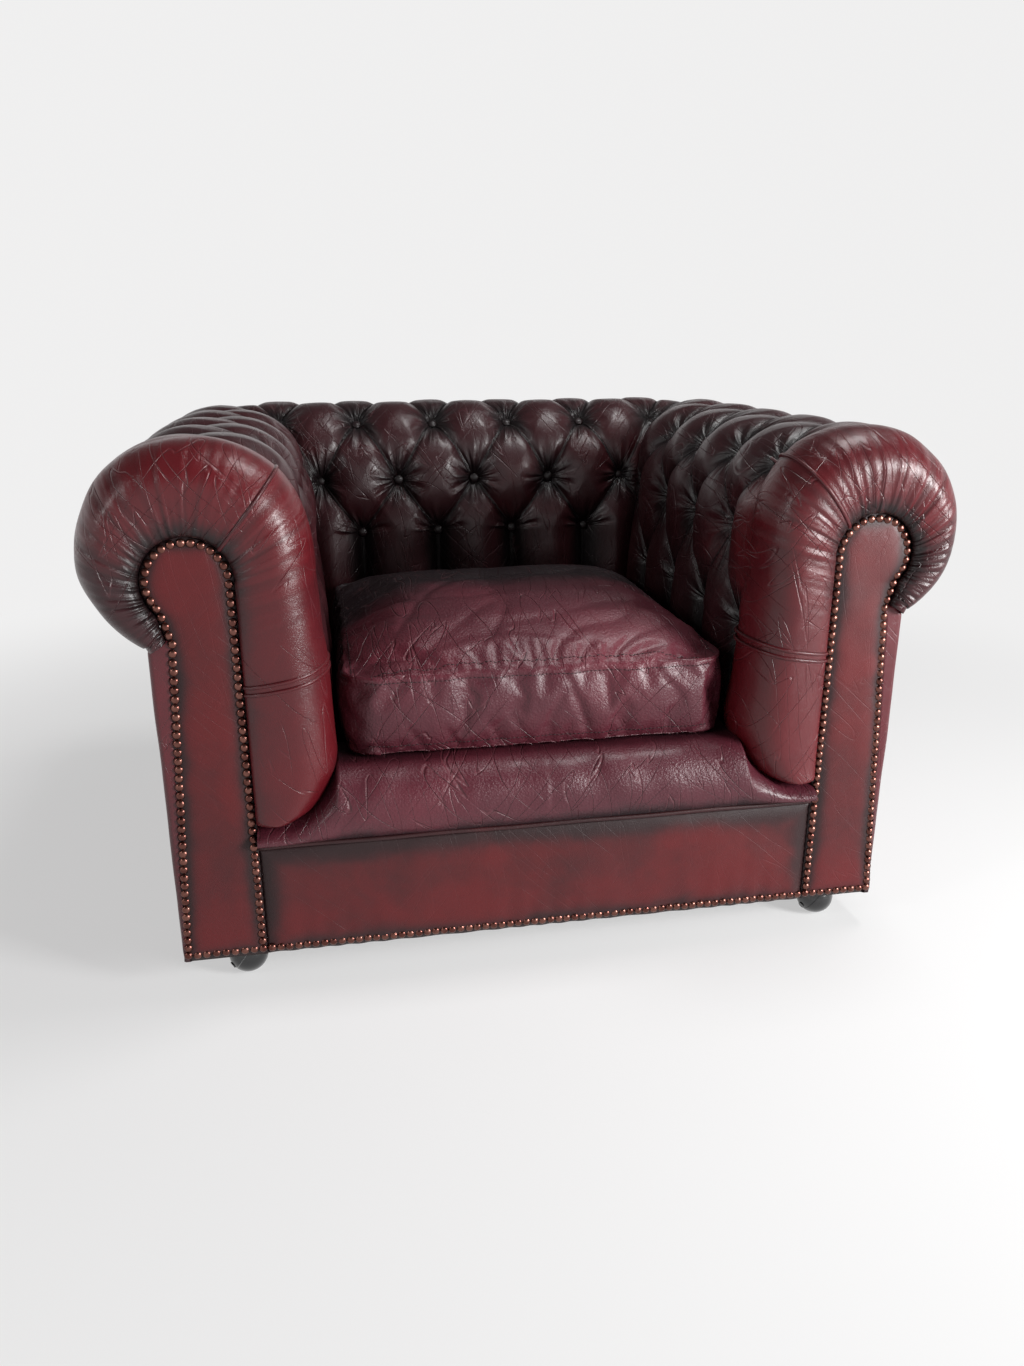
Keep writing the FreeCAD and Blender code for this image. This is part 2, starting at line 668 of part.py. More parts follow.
def core_point(length):
    """Point of the wood that faces a point of the path."""
    if length < LOW + FACE:
        height = path_point(length)[0][1]
        share = (height - TUCK[1]) / (FACE_TOP[1] - TUCK[1])
        return (size("core_in") - GAP, TUCK[1] + (ARCH[1] - TUCK[1]) * share)
    degrees = 180 - math.degrees((length - LOW - FACE) / ROLL_RADIUS)
    if degrees > -44:
        return arch_point(degrees)
    neck = (NECK_SPOT[0] + 2 * GAP, NECK_SPOT[1] + 4 * GAP)
    start = LOW + FACE + math.radians(224) * ROLL_RADIUS
    return mixed(arch_point(-44), neck, (length - start) / (PATH_END - start))


CORE_STATIONS = [
    PATH_END,
    LOW + FACE + math.radians(224) * ROLL_RADIUS,
    CREST,
    LOW + FACE,
    0.0,
]


def band(side, place, skin, inner_share=0.0, outer_share=1.0):
    """Closed section between the leather and the wood; the shares narrow it at the rolled front."""
    stations = side[2]

    def outer(length):
        return place(mixed(core_point(length), skin(length), outer_share))

    def inner(length):
        return place(mixed(core_point(length), skin(length), inner_share))

    def edge(function, start, end):
        first, middle, last = function(start), function((start + end) / 2), function(end)
        rise = (middle - first).cross(last - first).Length / (last - first).Length
        if rise < 0.02:
            return Part.makeLine(first, last)
        return Part.Arc(first, middle, last).toShape()

    edges = [edge(outer, start, end) for start, end in zip(stations, stations[1:])]
    edges.append(Part.makeLine(outer(PATH_END), inner(PATH_END)))
    edges += [edge(inner, start, end) for start, end in zip(CORE_STATIONS, CORE_STATIONS[1:])]
    edges.append(Part.makeLine(inner(0.0), outer(0.0)))
    return Part.Wire(edges)


def smooth(value):
    value = min(1.0, max(0.0, value))
    return value * value * (3 - 2 * value)


def corner_share(reach, out):
    """0 away from the rear corner, 1 on its mitre; reach is measured along, out across."""
    return smooth(1 - (out - reach) / size("corner_blend"))


def rounded(spot, length, past):
    """Draws the outside of the roll in round the rear corner; past is measured from its centre line."""
    out = spot[0] - ROLL[0]
    if past <= 0 or out <= 0:
        return spot
    reach = min(past, ROLL_RADIUS * math.sqrt(0.5))
    keep = math.sqrt(1 - (reach / ROLL_RADIUS) ** 2)
    held = smooth((length - OUTERMOST) / (LOW + FACE + TURN - OUTERMOST))
    return (ROLL[0] + out * (keep + (1 - keep) * held), spot[1])


def row_heights(side_name):
    """Heights of the lowest, middle and top buttons of the arm or the back."""
    top = ROLL[1] + size(side_name + "_row_up")
    middle = top - size(side_name + "_row_step")
    return [middle - size(side_name + "_low_step"), middle, top]


ARM = padded_side(row_heights("arm"))
BACK = padded_side(row_heights("back"))
ARM_START = size("front_face") + size("arm_first_button")
REACH = size("roll_offset") + size("roll_radius") + 20
STEPS = 4


def mitre_block(keep_arm):
    """Everything on the far side of the right-hand mitre, less half the clearance."""
    far = 1500.0
    slack = GAP / 2 * math.sqrt(2)
    x, y = size("seat_half"), size("back_line")
    if keep_arm:
        plan = [(x - far, y - far - slack), (x + far, y + far - slack), (x - far, y + far)]
    else:
        plan = [(x - far, y - far + slack), (x + far, y + far + slack), (x + far, y - far)]
    corners = [Vector(px, py, -50) for px, py in plan]
    face = Part.Face(Part.makePolygon(corners + corners[:1]))
    return face.extrude(Vector(0, 0, 1000))


# Buttoned inside of the arm, from its first button to the rear corner
def arm_section(y):
    columns = (y - ARM_START) / size("arm_pitch")

    def skin(length):
        out = path_point(length)[0][0]
        behind = y - size("back_line")
        spot = skin_point(ARM, length, columns, True, corner_share(behind, out))
        return rounded(spot, length, behind - size("roll_offset"))

    return band(ARM, lambda spot: Vector(size("seat_half") + spot[0], y, spot[1]), skin)


arm_sections = []
step = size("arm_pitch") / STEPS
while ARM_START + step * (len(arm_sections) - 1) < size("back_line") + REACH:
    arm_sections.append(arm_section(ARM_START + step * len(arm_sections)))
arm_pad = Part.makeLoft(arm_sections, True, True).cut(mitre_block(True))
pair_item = coded("arm_pad_right", arm_pad)
mirrored(pair_item, "arm_pad_left")


# Buttoned back between the two mitres
def back_section(x):
    columns = x / size("back_pitch") + 0.5

    def skin(length):
        out = path_point(length)[0][0]
        beside = abs(x) - size("seat_half")
        spot = skin_point(BACK, length, columns, True, corner_share(beside, out))
        return rounded(spot, length, beside - size("roll_offset"))

    return band(BACK, lambda spot: Vector(x, size("back_line") + spot[0], spot[1]), skin)


step = size("back_pitch") / STEPS
half_steps = math.ceil((size("seat_half") + REACH) / step)
back_sections = [back_section(step * number) for number in range(-half_steps, half_steps + 1)]
right_block = mitre_block(False)
left_block = right_block.mirror(Vector(0, 0, 0), Vector(1, 0, 0))
back_pad = Part.makeLoft(back_sections, True, True).cut(right_block).cut(left_block)
coded("back_pad", back_pad)


# Rolled front of the arm: plain leather that runs round the scroll and turns in to its nails
def front_section(behind, inner_share, outer_share):
    y = size("front_face") + behind
    away = smooth((size("arm_first_button") - behind) / (size("arm_first_button") - size("nose_round")))

    def skin(length):
        return skin_point(ARM, length, 0.0, True, front=away)

    return band(
        ARM, lambda spot: Vector(size("seat_half") + spot[0], y, spot[1]), skin, inner_share, outer_share
    )


bulge = size("nose_bulge")
round_deep = size("nose_round")
first = size("arm_first_button") - GAP
front_forms = [
    (first, 0.0, 1.0),
    ((first + round_deep) / 2, 0.0, 1.0),
    (round_deep, 0.0, 1.0),
    (round_deep * 0.5, 0.0, 0.965),
    (round_deep * 0.12, 0.0, 0.90),
    (-bulge * 0.1, 0.0, 0.86),
    (-bulge * 0.5, 0.13, 0.79),
    (-bulge * 0.85, 0.28, 0.68),
    (-bulge, 0.43, 0.53),
]
arm_front = Part.makeLoft([front_section(*form) for form in front_forms], True, True)
pair_item = coded("arm_front_right", arm_front)
mirrored(pair_item, "arm_front_left")


# Covered buttons, one in the bottom of every pit
def button_at(point, outward):
    radius = size("button_radius")
    rim = 1.2
    top = size("button_height")
    profile = Part.Wire(
        [
            Part.makeLine(Vector(0, 0, 0), Vector(radius, 0, 0)),
            Part.makeLine(Vector(radius, 0, 0), Vector(radius, 0, rim)),
            Part.makeLine(Vector(radius, 0, rim), Vector(radius * 0.55, 0, top * 0.85)),
            Part.makeLine(Vector(radius * 0.55, 0, top * 0.85), Vector(0, 0, top)),
            Part.makeLine(Vector(0, 0, top), Vector(0, 0, 0)),
        ]
    )
    button = Part.Face(profile).revolve(Vector(0, 0, 0), Vector(0, 0, 1), 360)
    base = point + outward * size("button_sit")
    button.Placement = Placement(base, Rotation(Vector(0, 0, 1), outward))
    return button


def side_buttons(side, spots, place, turn):
    rows = side[0]
    shapes = []
    for row, column in spots:
        length = [entry[0] for entry in rows if entry[1] == row][0]
        point, outward = path_point(length)
        shapes.append(button_at(place(point, column), turn(outward)))
    return shapes


arm_spots = [(1.0, k) for k in range(1, 4)] + [(2.0, k + 0.5) for k in range(3)] + [(3.0, k) for k in range(1, 4)]
arm_buttons = side_buttons(
    ARM,
    arm_spots,
    lambda spot, k: Vector(size("seat_half") + spot[0], ARM_START + k * size("arm_pitch"), spot[1]),
    lambda way: Vector(way[0], 0, way[1]),
)
pair_item = coded("arm_buttons_right", Part.makeCompound(arm_buttons))
mirrored(pair_item, "arm_buttons_left")
back_spots = [(row, k) for row in (1.0, 3.0) for k in (-1, 0, 1, 2)] + [(2.0, k) for k in (-0.5, 0.5, 1.5)]
back_buttons = side_buttons(
    BACK,
    back_spots,
    lambda spot, k: Vector((k - 0.5) * size("back_pitch"), size("back_line") + spot[0], spot[1]),
    lambda way: Vector(0, way[0], way[1]),
)
coded("back_buttons", Part.makeCompound(back_buttons))


# Seat deck under the cushion: a base board of padding with a raised middle that falls away to the pads
DECK_FOOT = "seat_frame_top + strap_thick + soft_gap"
deck_base = box(
    "DeckBase",
    (f"-({CORE} - soft_gap)", "front_face + lip_deep + soft_gap", DECK_FOOT),
    (
        f"2 * ({CORE} - soft_gap)",
        "back_line + core_in - soft_gap - (front_face + lip_deep + soft_gap)",
        f"deck_low - ({DECK_FOOT})",
    ),
)
deck_rise = doc.addObject("Part::Wedge", "DeckRise")
for prop, text in {
    "Xmin": "-(seat_half - seat_fall_in)",
    "Xmax": "seat_half - seat_fall_in",
    "Zmin": "-(back_line - seat_fall_in)",
    "Zmax": "-(front_face + lip_deep + soft_gap)",
    "Ymin": "deck_low",
    "Ymax": "seat_top",
    "X2min": "-(seat_half - seat_flat_in)",
    "X2max": "seat_half - seat_flat_in",
    "Z2min": "-(back_line - seat_flat_in)",
    "Z2max": "-(front_face + lip_deep + soft_gap)",
}.items():
    deck_rise.setExpression(prop, bound(text))
deck_rise.Placement.Rotation = Rotation(Vector(1, 0, 0), 90)
part_of(joined("Part::Fuse", "SeatDeck", deck_base, deck_rise), "seat_deck")


# Padded lip in front of the deck; its ends are pressed down by the arms
def lip_section(x, top):
    front = size("front_face")
    foot = size("seat_frame_top") + size("strap_thick") + GAP
    back = front + size("lip_deep")
    tip = front - size("lip_bulge")
    reach = (top - foot) * 0.56
    knee = Vector(x, tip + reach, top)
    nose = Vector(x, tip, foot + (top - foot) * 0.42)
    under = Vector(x, front + 1, foot)
    over = Vector(x, tip + reach * 0.29, foot + (top - foot) * 0.83)
    below = Vector(x, front - size("lip_bulge") * 0.68, foot + (top - foot) * 0.12)
    heel = Vector(x, back, foot)
    rear = Vector(x, back, top)
    return Part.Wire(
        [
            Part.makeLine(heel, rear),
            Part.makeLine(rear, knee),
            Part.Arc(knee, over, nose).toShape(),
            Part.Arc(nose, below, under).toShape(),
            Part.makeLine(under, heel),
        ]
    )


def under_arm(share):
    """Where the lip may reach under the bulge of the arm's front, as a half width and a height."""
    spot = skin_point(ARM, LOW * share, 0.0, True, front=1.0)
    outward = path_point(LOW * share)[1]
    clear = size("lip_clear")
    return (size("seat_half") + spot[0] + outward[0] * clear, spot[1] + outward[1] * clear)


lip_side = [under_arm(share) for share in (0.82, 0.68, 0.54, 0.40, 0.26, 0.12)]
lip_side.insert(0, (lip_side[0][0] - 6, size("seat_top")))
lip_side.append((size("seat_half") + size("core_in") - GAP, lip_side[-1][1]))
lip_forms = [(-x, top) for x, top in lip_side[::-1]] + lip_side
coded("seat_lip", Part.makeLoft([lip_section(x, top) for x, top in lip_forms], True, True))


# Loose seat cushion: boxed, with a crown on top and sides that draw in between the corners
cushion_foot = size("seat_top") + GAP
cushion_start = size("front_face") + size("cushion_front")
cushion_end = (
    size("back_line") - size("face_in") - size("puff_rise") - size("cushion_back_gap")
)
cushion_length = cushion_end - cushion_start


def cushion_section(behind, trim, crown):
    y = cushion_start + behind
    draw = size("cushion_draw") * math.sin(math.pi * behind / cushion_length)
    half = size("cushion_half") - size("cushion_swell") - draw - trim
    low = cushion_foot + trim
    high = cushion_foot + size("cushion_box") - trim
    middle = (low + high) / 2
    swell = half + size("cushion_swell")
    top = high + size("cushion_crown") * crown + 1
    brow = half * 0.72
    brow_up = high + (top - high) * 0.76
    rise = half * 0.9
    rise_up = high + (top - high) * 0.48
    return Part.Wire(
        [
            Part.makeLine(Vector(-half, y, low), Vector(half, y, low)),
            Part.Arc(Vector(half, y, low), Vector(swell, y, middle), Vector(half, y, high)).toShape(),
            Part.Arc(Vector(half, y, high), Vector(rise, y, rise_up), Vector(brow, y, brow_up)).toShape(),
            Part.Arc(Vector(brow, y, brow_up), Vector(0, y, top), Vector(-brow, y, brow_up)).toShape(),
            Part.Arc(Vector(-brow, y, brow_up), Vector(-rise, y, rise_up), Vector(-half, y, high)).toShape(),
            Part.Arc(Vector(-half, y, high), Vector(-swell, y, middle), Vector(-half, y, low)).toShape(),
        ]
    )


cushion_forms = [
    (0.0, 12.0, 0.0),
    (0.008, 5.0, 0.02),
    (0.03, 0.0, 0.08),
    (0.09, 0.0, 0.42),
    (0.18, 0.0, 0.78),
    (0.30, 0.0, 0.98),
    (0.45, 0.0, 1.0),
    (0.65, 0.0, 0.85),
    (0.82, 0.0, 0.5),
    (0.95, 0.0, 0.12),
    (0.985, 5.0, 0.02),
    (1.0, 14.0, 0.0),
]
coded(
    "seat_cushion",
    Part.makeLoft([cushion_section(cushion_length * t, trim, crown) for t, trim, crown in cushion_forms], True, True),
)


# Rows of nail heads, each row as one raised band on the leather
def nail_band(points, closed=False):
    """Flat band of nail-head width along a run of points in the front plane."""
    y = size("front_face")
    half = size("nail_wide") / 2
    lefts, rights = [], []
    for index, here in enumerate(points):
        before = points[index - 1] if index else here
        after = points[index + 1] if index + 1 < len(points) else here
        way = (after[0] - before[0], after[1] - before[1])
        scale = math.hypot(*way)
        across = (-way[1] / scale * half, way[0] / scale * half)
        lefts.append(Vector(here[0] + across[0], y, here[1] + across[1]))
        rights.append(Vector(here[0] - across[0], y, here[1] - across[1]))
    rim = lefts + rights[::-1]
    face = Part.Face(Part.makePolygon(rim + rim[:1]))
    return face.extrude(Vector(0, -size("nail_thick"), 0))


def scroll_nails():
    inset = size("nail_inset")
    half = size("seat_half")
    base = evaluate("skirt_height + nail_rise")
    centre = (half + ARCH[0], ARCH[1])
    radius = size("arch_radius") - inset
    inner = half + size("core_in") + inset
    outer = half + size("panel_out") - GAP - inset
    neck = (half + NECK_SPOT[0] - inset * 1.1, NECK_SPOT[1] - 2)
    arch = [
        (centre[0] + radius * math.cos(math.radians(a)), centre[1] + radius * math.sin(math.radians(a)))
        for a in (180, 165, 150, 135, 120, 105, 90, 75, 60, 45, 30, 15, 0, -15, -30, -44)
    ]
    gather = size("nail_wide") / 2
    up = [(inner, base + gather)] + arch + [neck, (outer, base + gather)]
    foot = [(inner - gather, base), (outer + gather, base)]
    return Part.makeCompound([nail_band(up), nail_band(foot)])


nails = scroll_nails()
pair_item = coded("facing_nails_right", nails)
mirrored(pair_item, "facing_nails_left")
nail_y = size("front_face") - size("nail_thick")
border_half = size("seat_half") + size("core_in") - GAP - size("facing_round")
border_nails = Part.makeBox(
    2 * border_half,
    size("nail_thick"),
    size("nail_wide"),
    Vector(-border_half, nail_y, evaluate("skirt_height + nail_rise - nail_wide / 2")),
)
coded("border_nails", border_nails)


# Ball castors: a half ball on a tilted axle runs in a half-ball hood that turns on its stem
def tilted(item):
    item.Placement.Rotation = Rotation(Vector(0, 1, 0), 90 + size("axle_tilt"))
    for axis, text in zip("xyz", ("ball_trail", "0", "ball_radius")):
        item.setExpression(f".Placement.Base.{axis}", bound(text))
    return item


def half_ball(name, low, high):
    item = doc.addObject("Part::Sphere", name)
    item.setExpression("Radius", bound("ball_radius"))
    item.setExpression("Angle1", bound(low))
    item.setExpression("Angle2", bound(high))
    return tilted(item)


def axle_rod(name, radius, start, length):
    """Cylinder along the tilted axle, from a distance before the ball's centre."""
    item = doc.addObject("Part::Cylinder", name)
    item.setExpression("Radius", bound(radius))
    item.setExpression("Height", bound(length))
    tilt = "axle_tilt * 1deg"
    item.Placement.Rotation = Rotation(Vector(0, 1, 0), 90 + size("axle_tilt"))
    item.setExpression(".Placement.Base.x", bound(f"ball_trail + ({start}) * cos({tilt})"))
    item.setExpression(".Placement.Base.z", bound(f"ball_radius - ({start}) * sin({tilt})"))
    return item


SPLIT_ANGLE = "asin(ball_split / 2 / ball_radius) / 1deg"
BOSS_WAY = Vector(-0.62, -0.66, -0.42)
for place, side, stem_y, turn in STEM_SPOTS:
    spot = Placement(
        Vector(side * evaluate("castor_out"), evaluate(stem_y), 0), Rotation(Vector(0, 0, 1), turn)
    )
    shell = half_ball("HoodBall_" + place, "-90", f"-({SPLIT_ANGLE})")
    boss = doc.addObject("Part::Cylinder", "HoodBoss_" + place)
    boss.setExpression("Radius", bound("boss_radius"))
    boss.setExpression("Height", bound("boss_rise + 3"))
    way = Vector(BOSS_WAY)
    way.normalize()
    start = Vector(size("ball_trail"), 0, size("ball_radius")) + way * (size("ball_radius") - 3)
    boss.Placement = Placement(start, Rotation(Vector(0, 0, 1), way))
    bossed = joined("Part::Fuse", "HoodBossed_" + place, shell, boss)
    stem_bore = cylinder("HoodStemBore_" + place, "stem_radius + 0.02", "ball_radius * 2", ("0", "0", "stem_foot"))
    axle_bore = axle_rod("HoodAxleBore_" + place, "axle_radius + 0.02", "-axle_hood_reach", "axle_hood_reach")
    bores = joined("Part::Fuse", "HoodBores_" + place, stem_bore, axle_bore)
    hood = joined("Part::Cut", "Hood_" + place, bossed, bores)
    hood.Placement = spot
    part_of(hood, "castor_hood_" + place)
    tread = half_ball("WheelBall_" + place, SPLIT_ANGLE, "90")
    hub = axle_rod("WheelBore_" + place, "axle_radius + axle_play", "0", "axle_wheel_reach + 0.5")
    wheel = joined("Part::Cut", "Wheel_" + place, tread, hub)
    wheel.Placement = spot
    part_of(wheel, "castor_wheel_" + place)
    axle = axle_rod(
        "Axle_" + place, "axle_radius", "-axle_hood_reach + 0.2", "axle_hood_reach + axle_wheel_reach - 0.2"
    )
    doc.recompute()
    axle.setExpression(".Placement.Base.x", None)
    axle.setExpression(".Placement.Base.z", None)
    axle.Placement = spot.multiply(axle.Placement)
    part_of(axle, "castor_axle_" + place)
    rod = cylinder("StemRod_" + place, "stem_radius", "stem_top - stem_foot", ("0", "0", "stem_foot"))
    collar = cylinder(
        "StemCollar_" + place,
        "collar_radius",
        "collar_long",
        ("0", "0", "2 * ball_radius"),
    )
    stem = joined("Part::Fuse", "Stem_" + place, rod, collar)
    stem.Placement = spot
    part_of(stem, "castor_stem_" + place)


doc.recompute()
faults = []
for item in doc.Objects:
    if "Invalid" in item.State or "Error" in item.State:
        faults.append(f"{item.Label}: {item.State}")
for item in SUBPARTS:
    if item.Shape.isNull() or not item.Shape.isValid() or not item.Shape.Solids:
        faults.append(f"{item.Label}: shape")
if faults:
    raise RuntimeError("; ".join(faults))

os.makedirs("parts", exist_ok=True)
for item in SUBPARTS:
    item.Shape.exportStep(f"parts/{item.Label}.step")
    room = item.Shape.BoundBox
    print(
        f"{item.Label}: {len(item.Shape.Solids)} solids, {item.Shape.Volume / 1000:.1f} cm3, "
        f"x {room.XMin:.1f}..{room.XMax:.1f} y {room.YMin:.1f}..{room.YMax:.1f} z {room.ZMin:.1f}..{room.ZMax:.1f}"
    )
print(f"{len(SUBPARTS)} nodes")
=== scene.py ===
import json
import math

import bmesh
import bpy
from mathutils import Euler, Matrix, Vector, noise
from mathutils.bvhtree import BVHTree


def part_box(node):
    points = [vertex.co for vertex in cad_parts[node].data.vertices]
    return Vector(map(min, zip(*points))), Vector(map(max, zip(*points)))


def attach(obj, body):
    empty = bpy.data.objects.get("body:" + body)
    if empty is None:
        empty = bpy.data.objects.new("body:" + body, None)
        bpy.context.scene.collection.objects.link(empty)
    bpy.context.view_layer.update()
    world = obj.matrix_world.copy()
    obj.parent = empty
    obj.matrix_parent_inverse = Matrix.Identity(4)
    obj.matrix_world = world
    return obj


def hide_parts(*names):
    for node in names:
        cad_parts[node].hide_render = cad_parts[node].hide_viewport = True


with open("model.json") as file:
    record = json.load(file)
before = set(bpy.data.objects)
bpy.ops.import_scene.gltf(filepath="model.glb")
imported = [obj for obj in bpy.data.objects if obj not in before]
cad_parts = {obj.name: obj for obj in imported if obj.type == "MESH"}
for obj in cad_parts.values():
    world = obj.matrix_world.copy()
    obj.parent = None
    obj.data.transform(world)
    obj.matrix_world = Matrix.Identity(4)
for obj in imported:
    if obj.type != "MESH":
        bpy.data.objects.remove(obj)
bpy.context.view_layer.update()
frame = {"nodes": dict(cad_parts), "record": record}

# Studio: a pale floor that fades into an equally pale surround, two soft boxes at the front corners,
# one overhead, and a camera 0.78 m above the floor, left of the middle and turned a little to the right.
scene = bpy.context.scene
scene.view_settings.view_transform = "Standard"


class Value:
    """A value or colour inside a finish. Sums and products of values add their Math nodes."""

    def __init__(self, finish, socket):
        self.finish = finish
        self.socket = socket

    def maths(self, operation, *others):
        inputs = dict(enumerate((self,) + others))
        return self.finish.node("ShaderNodeMath", {"operation": operation}, inputs)

    def __add__(self, other):
        return self.maths("ADD", other)

    def __sub__(self, other):
        return self.maths("SUBTRACT", other)

    def __rsub__(self, other):
        return self * -1 + other

    def __mul__(self, other):
        return self.maths("MULTIPLY", other)

    def __pow__(self, power):
        return self.maths("POWER", power)

    def __abs__(self):
        return self.maths("ABSOLUTE")

    __radd__ = __add__
    __rmul__ = __mul__

    def ramp(self, low, high):
        """0 below low, 1 above high, eased between; low may be the larger one."""
        inputs = {"Value": self, "From Min": low, "From Max": high}
        return self.finish.node("ShaderNodeMapRange", {"interpolation_type": "SMOOTHSTEP"}, inputs)


class Finish:
    """One material, with its shader and the nodes that feed it."""

    def __init__(self, name, **shader):
        self.material = bpy.data.materials.new(name)
        self.material.use_nodes = True
        self.tree = self.material.node_tree
        self.shader = self.tree.nodes["Principled BSDF"]
        self.out = self.tree.nodes["Material Output"]
        self.coat(**shader)

    def coat(self, **shader):
        for name, value in shader.items():
            self.feed(self.shader.inputs[name.replace("_", " ")], value)

    def feed(self, socket, value):
        if isinstance(value, Value):
            self.tree.links.new(value.socket, socket)
        else:
            socket.default_value = value

    def node(self, kind, settings=None, inputs=None, output=0):
        made = self.tree.nodes.new(kind)
        for name, setting in (settings or {}).items():
            setattr(made, name, setting)
        for name, value in (inputs or {}).items():
            self.feed(made.inputs[name], value)
        return Value(self, made.outputs[output])

    def place(self):
        return self.node("ShaderNodeTexCoord", output="Object")

    def turned(self, place, scale, turn=(0, 0, 0)):
        return self.node("ShaderNodeMapping", None, {"Vector": place, "Scale": scale, "Rotation": turn})

    def cloud(self, place, scale, detail=2.0, warp=0.0):
        inputs = {"Vector": place, "Scale": scale, "Detail": detail, "Distortion": warp}
        return self.node("ShaderNodeTexNoise", None, inputs)

    def mix(self, share, first, second):
        return self.node("ShaderNodeMix", {"data_type": "RGBA"}, {0: share, 6: first, 7: second}, 2)

    def bump(self, height, depth, strength=1.0):
        inputs = {"Height": height, "Distance": depth, "Strength": strength}
        return self.node("ShaderNodeBump", None, inputs)


background = (0.87, 0.866, 0.866, 1)
surround_on_chair = 0.34
overhead_dim = 0.14
floor_reach = 9.0
floor_faded = 0.58

sky = bpy.data.worlds.new("Surround")
sky.use_nodes = True
scene.world = sky
sky_tree = sky.node_tree


def sky_node(kind, operation, **inputs):
    made = sky_tree.nodes.new(kind)
    if operation:
        made.operation = operation
    for name, value in inputs.items():
        socket = made.inputs[int(name[1:])]
        if isinstance(value, bpy.types.NodeSocket):
            sky_tree.links.new(value, socket)
        else:
            socket.default_value = value
    return made.outputs[0]


light_path = sky_tree.nodes.new("ShaderNodeLightPath").outputs
mirrored = sky_node(
    "ShaderNodeMath", "MAXIMUM", _0=light_path["Is Glossy Ray"], _1=light_path["Is Transmission Ray"]
)
seen = sky_node("ShaderNodeMath", "MAXIMUM", _0=light_path["Is Camera Ray"], _1=mirrored)
height_of_ray = sky_tree.nodes.new("ShaderNodeSeparateXYZ")
sky_tree.links.new(sky_tree.nodes.new("ShaderNodeTexCoord").outputs["Generated"], height_of_ray.inputs[0])
overhead = sky_node(
    "ShaderNodeMapRange", None, _0=height_of_ray.outputs[2], _1=0.27, _2=0.46, _3=1.0, _4=overhead_dim
)
level = sky_node("ShaderNodeMapRange", None, _0=seen, _3=surround_on_chair, _4=1.0)
strength = sky_node("ShaderNodeMath", "MULTIPLY", _0=level, _1=overhead)
sky_tree.links.new(strength, sky_tree.nodes["Background"].inputs["Strength"])
sky_tree.nodes["Background"].inputs["Color"].default_value = background

floor_finish = Finish("pale_floor", Base_Color=(0.88, 0.88, 0.88, 1), Roughness=0.8)
floor_finish.shader.inputs["Specular IOR Level"].default_value = 0.1
floor_shader = Value(floor_finish, floor_finish.shader.outputs[0])
from_middle = floor_finish.node(
    "ShaderNodeVectorMath", {"operation": "LENGTH"}, {0: floor_finish.place()}, "Value"
)
far_floor = floor_finish.node("ShaderNodeEmission", None, {"Color": background})
faded = from_middle.ramp(0.7, 2.0) * (1 - floor_faded) + floor_faded
fade = floor_finish.node("ShaderNodeMixShader", None, {0: faded, 1: floor_shader, 2: far_floor})
floor_finish.feed(floor_finish.out.inputs["Surface"], fade)
floor_sheet = bmesh.new()
bmesh.ops.create_circle(floor_sheet, cap_ends=True, segments=96, radius=floor_reach)
floor_mesh = bpy.data.meshes.new("floor")
floor_sheet.to_mesh(floor_mesh)
floor_mesh.materials.append(floor_finish.material)
floor = bpy.data.objects.new("floor", floor_mesh)
scene.collection.objects.link(floor)


def soft_box(name, place, aim, wide, high, power):
    lamp = bpy.data.lights.new(name, "AREA")
    lamp.shape = "RECTANGLE"
    lamp.size = wide
    lamp.size_y = high
    lamp.energy = power
    box = bpy.data.objects.new(name, lamp)
    box.location = place
    box.rotation_euler = (Vector(aim) - Vector(place)).to_track_quat("-Z", "Y").to_euler()
    scene.collection.objects.link(box)


soft_box("box_right", (1.85, -1.75, 0.95), (0, 0, 0.35), 0.60, 0.85, 84)
soft_box("box_left", (-2.4, -1.5, 1.7), (0, 0, 0.4), 0.45, 0.6, 13)
soft_box("box_top", (0.9, -0.1, 2.9), (0, 0, 0.4), 0.8, 0.7, 32)

camera_place = Vector((-0.257, -1.548, 0.779))
camera_yaw = 0.1824
camera_pitch = 0.3265
camera_roll = -0.0018
photo_high = 1366
focal_pixels = 1026
camera_data = bpy.data.cameras.new("camera")
camera_data.sensor_width = 36
camera_data.lens = focal_pixels / photo_high * camera_data.sensor_width
camera = bpy.data.objects.new("camera", camera_data)
camera.location = camera_place
camera_turn = Euler((math.pi / 2 - camera_pitch, 0, -camera_yaw), "XYZ").to_matrix()
camera.rotation_euler = (camera_turn @ Matrix.Rotation(camera_roll, 3, "Z")).to_euler()
scene.collection.objects.link(camera)
scene.camera = camera

# Buttoned arms: antiqued leather over fibre and foam on the lined frame, pulled down to rows of covered
# buttons with pleats between them. Leather of the rolled front turns in to its nails round the scroll.
sides = (("left", -1), ("right", 1))
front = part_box("facing_right")[0][1]
seat_half = 0.325
back_line = 0.2275
roll_out = 0.075
roll_up = 0.550
roll_radius = 0.105
roll_end_turn = math.radians(58)
tuck = (0.020, 0.226)
belly = (-0.045, 0.300)
chin = (roll_out - roll_radius, roll_up)
skin_end = (0.135, 0.442)
arch_out = 0.0825
arch_up = 0.523
arch_radius = 0.051
arch_turn = math.radians(224)
facing_in = 0.032
neck = (0.1115, 0.457)
arm_rows = (0.410, 0.535, 0.622)
arm_first = front + 0.100
arm_pitch = 0.1325
row_step = 0.085
puff = 0.027
crest_puff = 0.021
flute_puff = 0.023
flute_start = 0.055
nose_bulge = 0.018
nose_round = 0.045
corner_reach = 0.045
gather_depth = 0.0013
pit_depth = 0.007
pit_reach = 0.010
unevenness = 0.0022

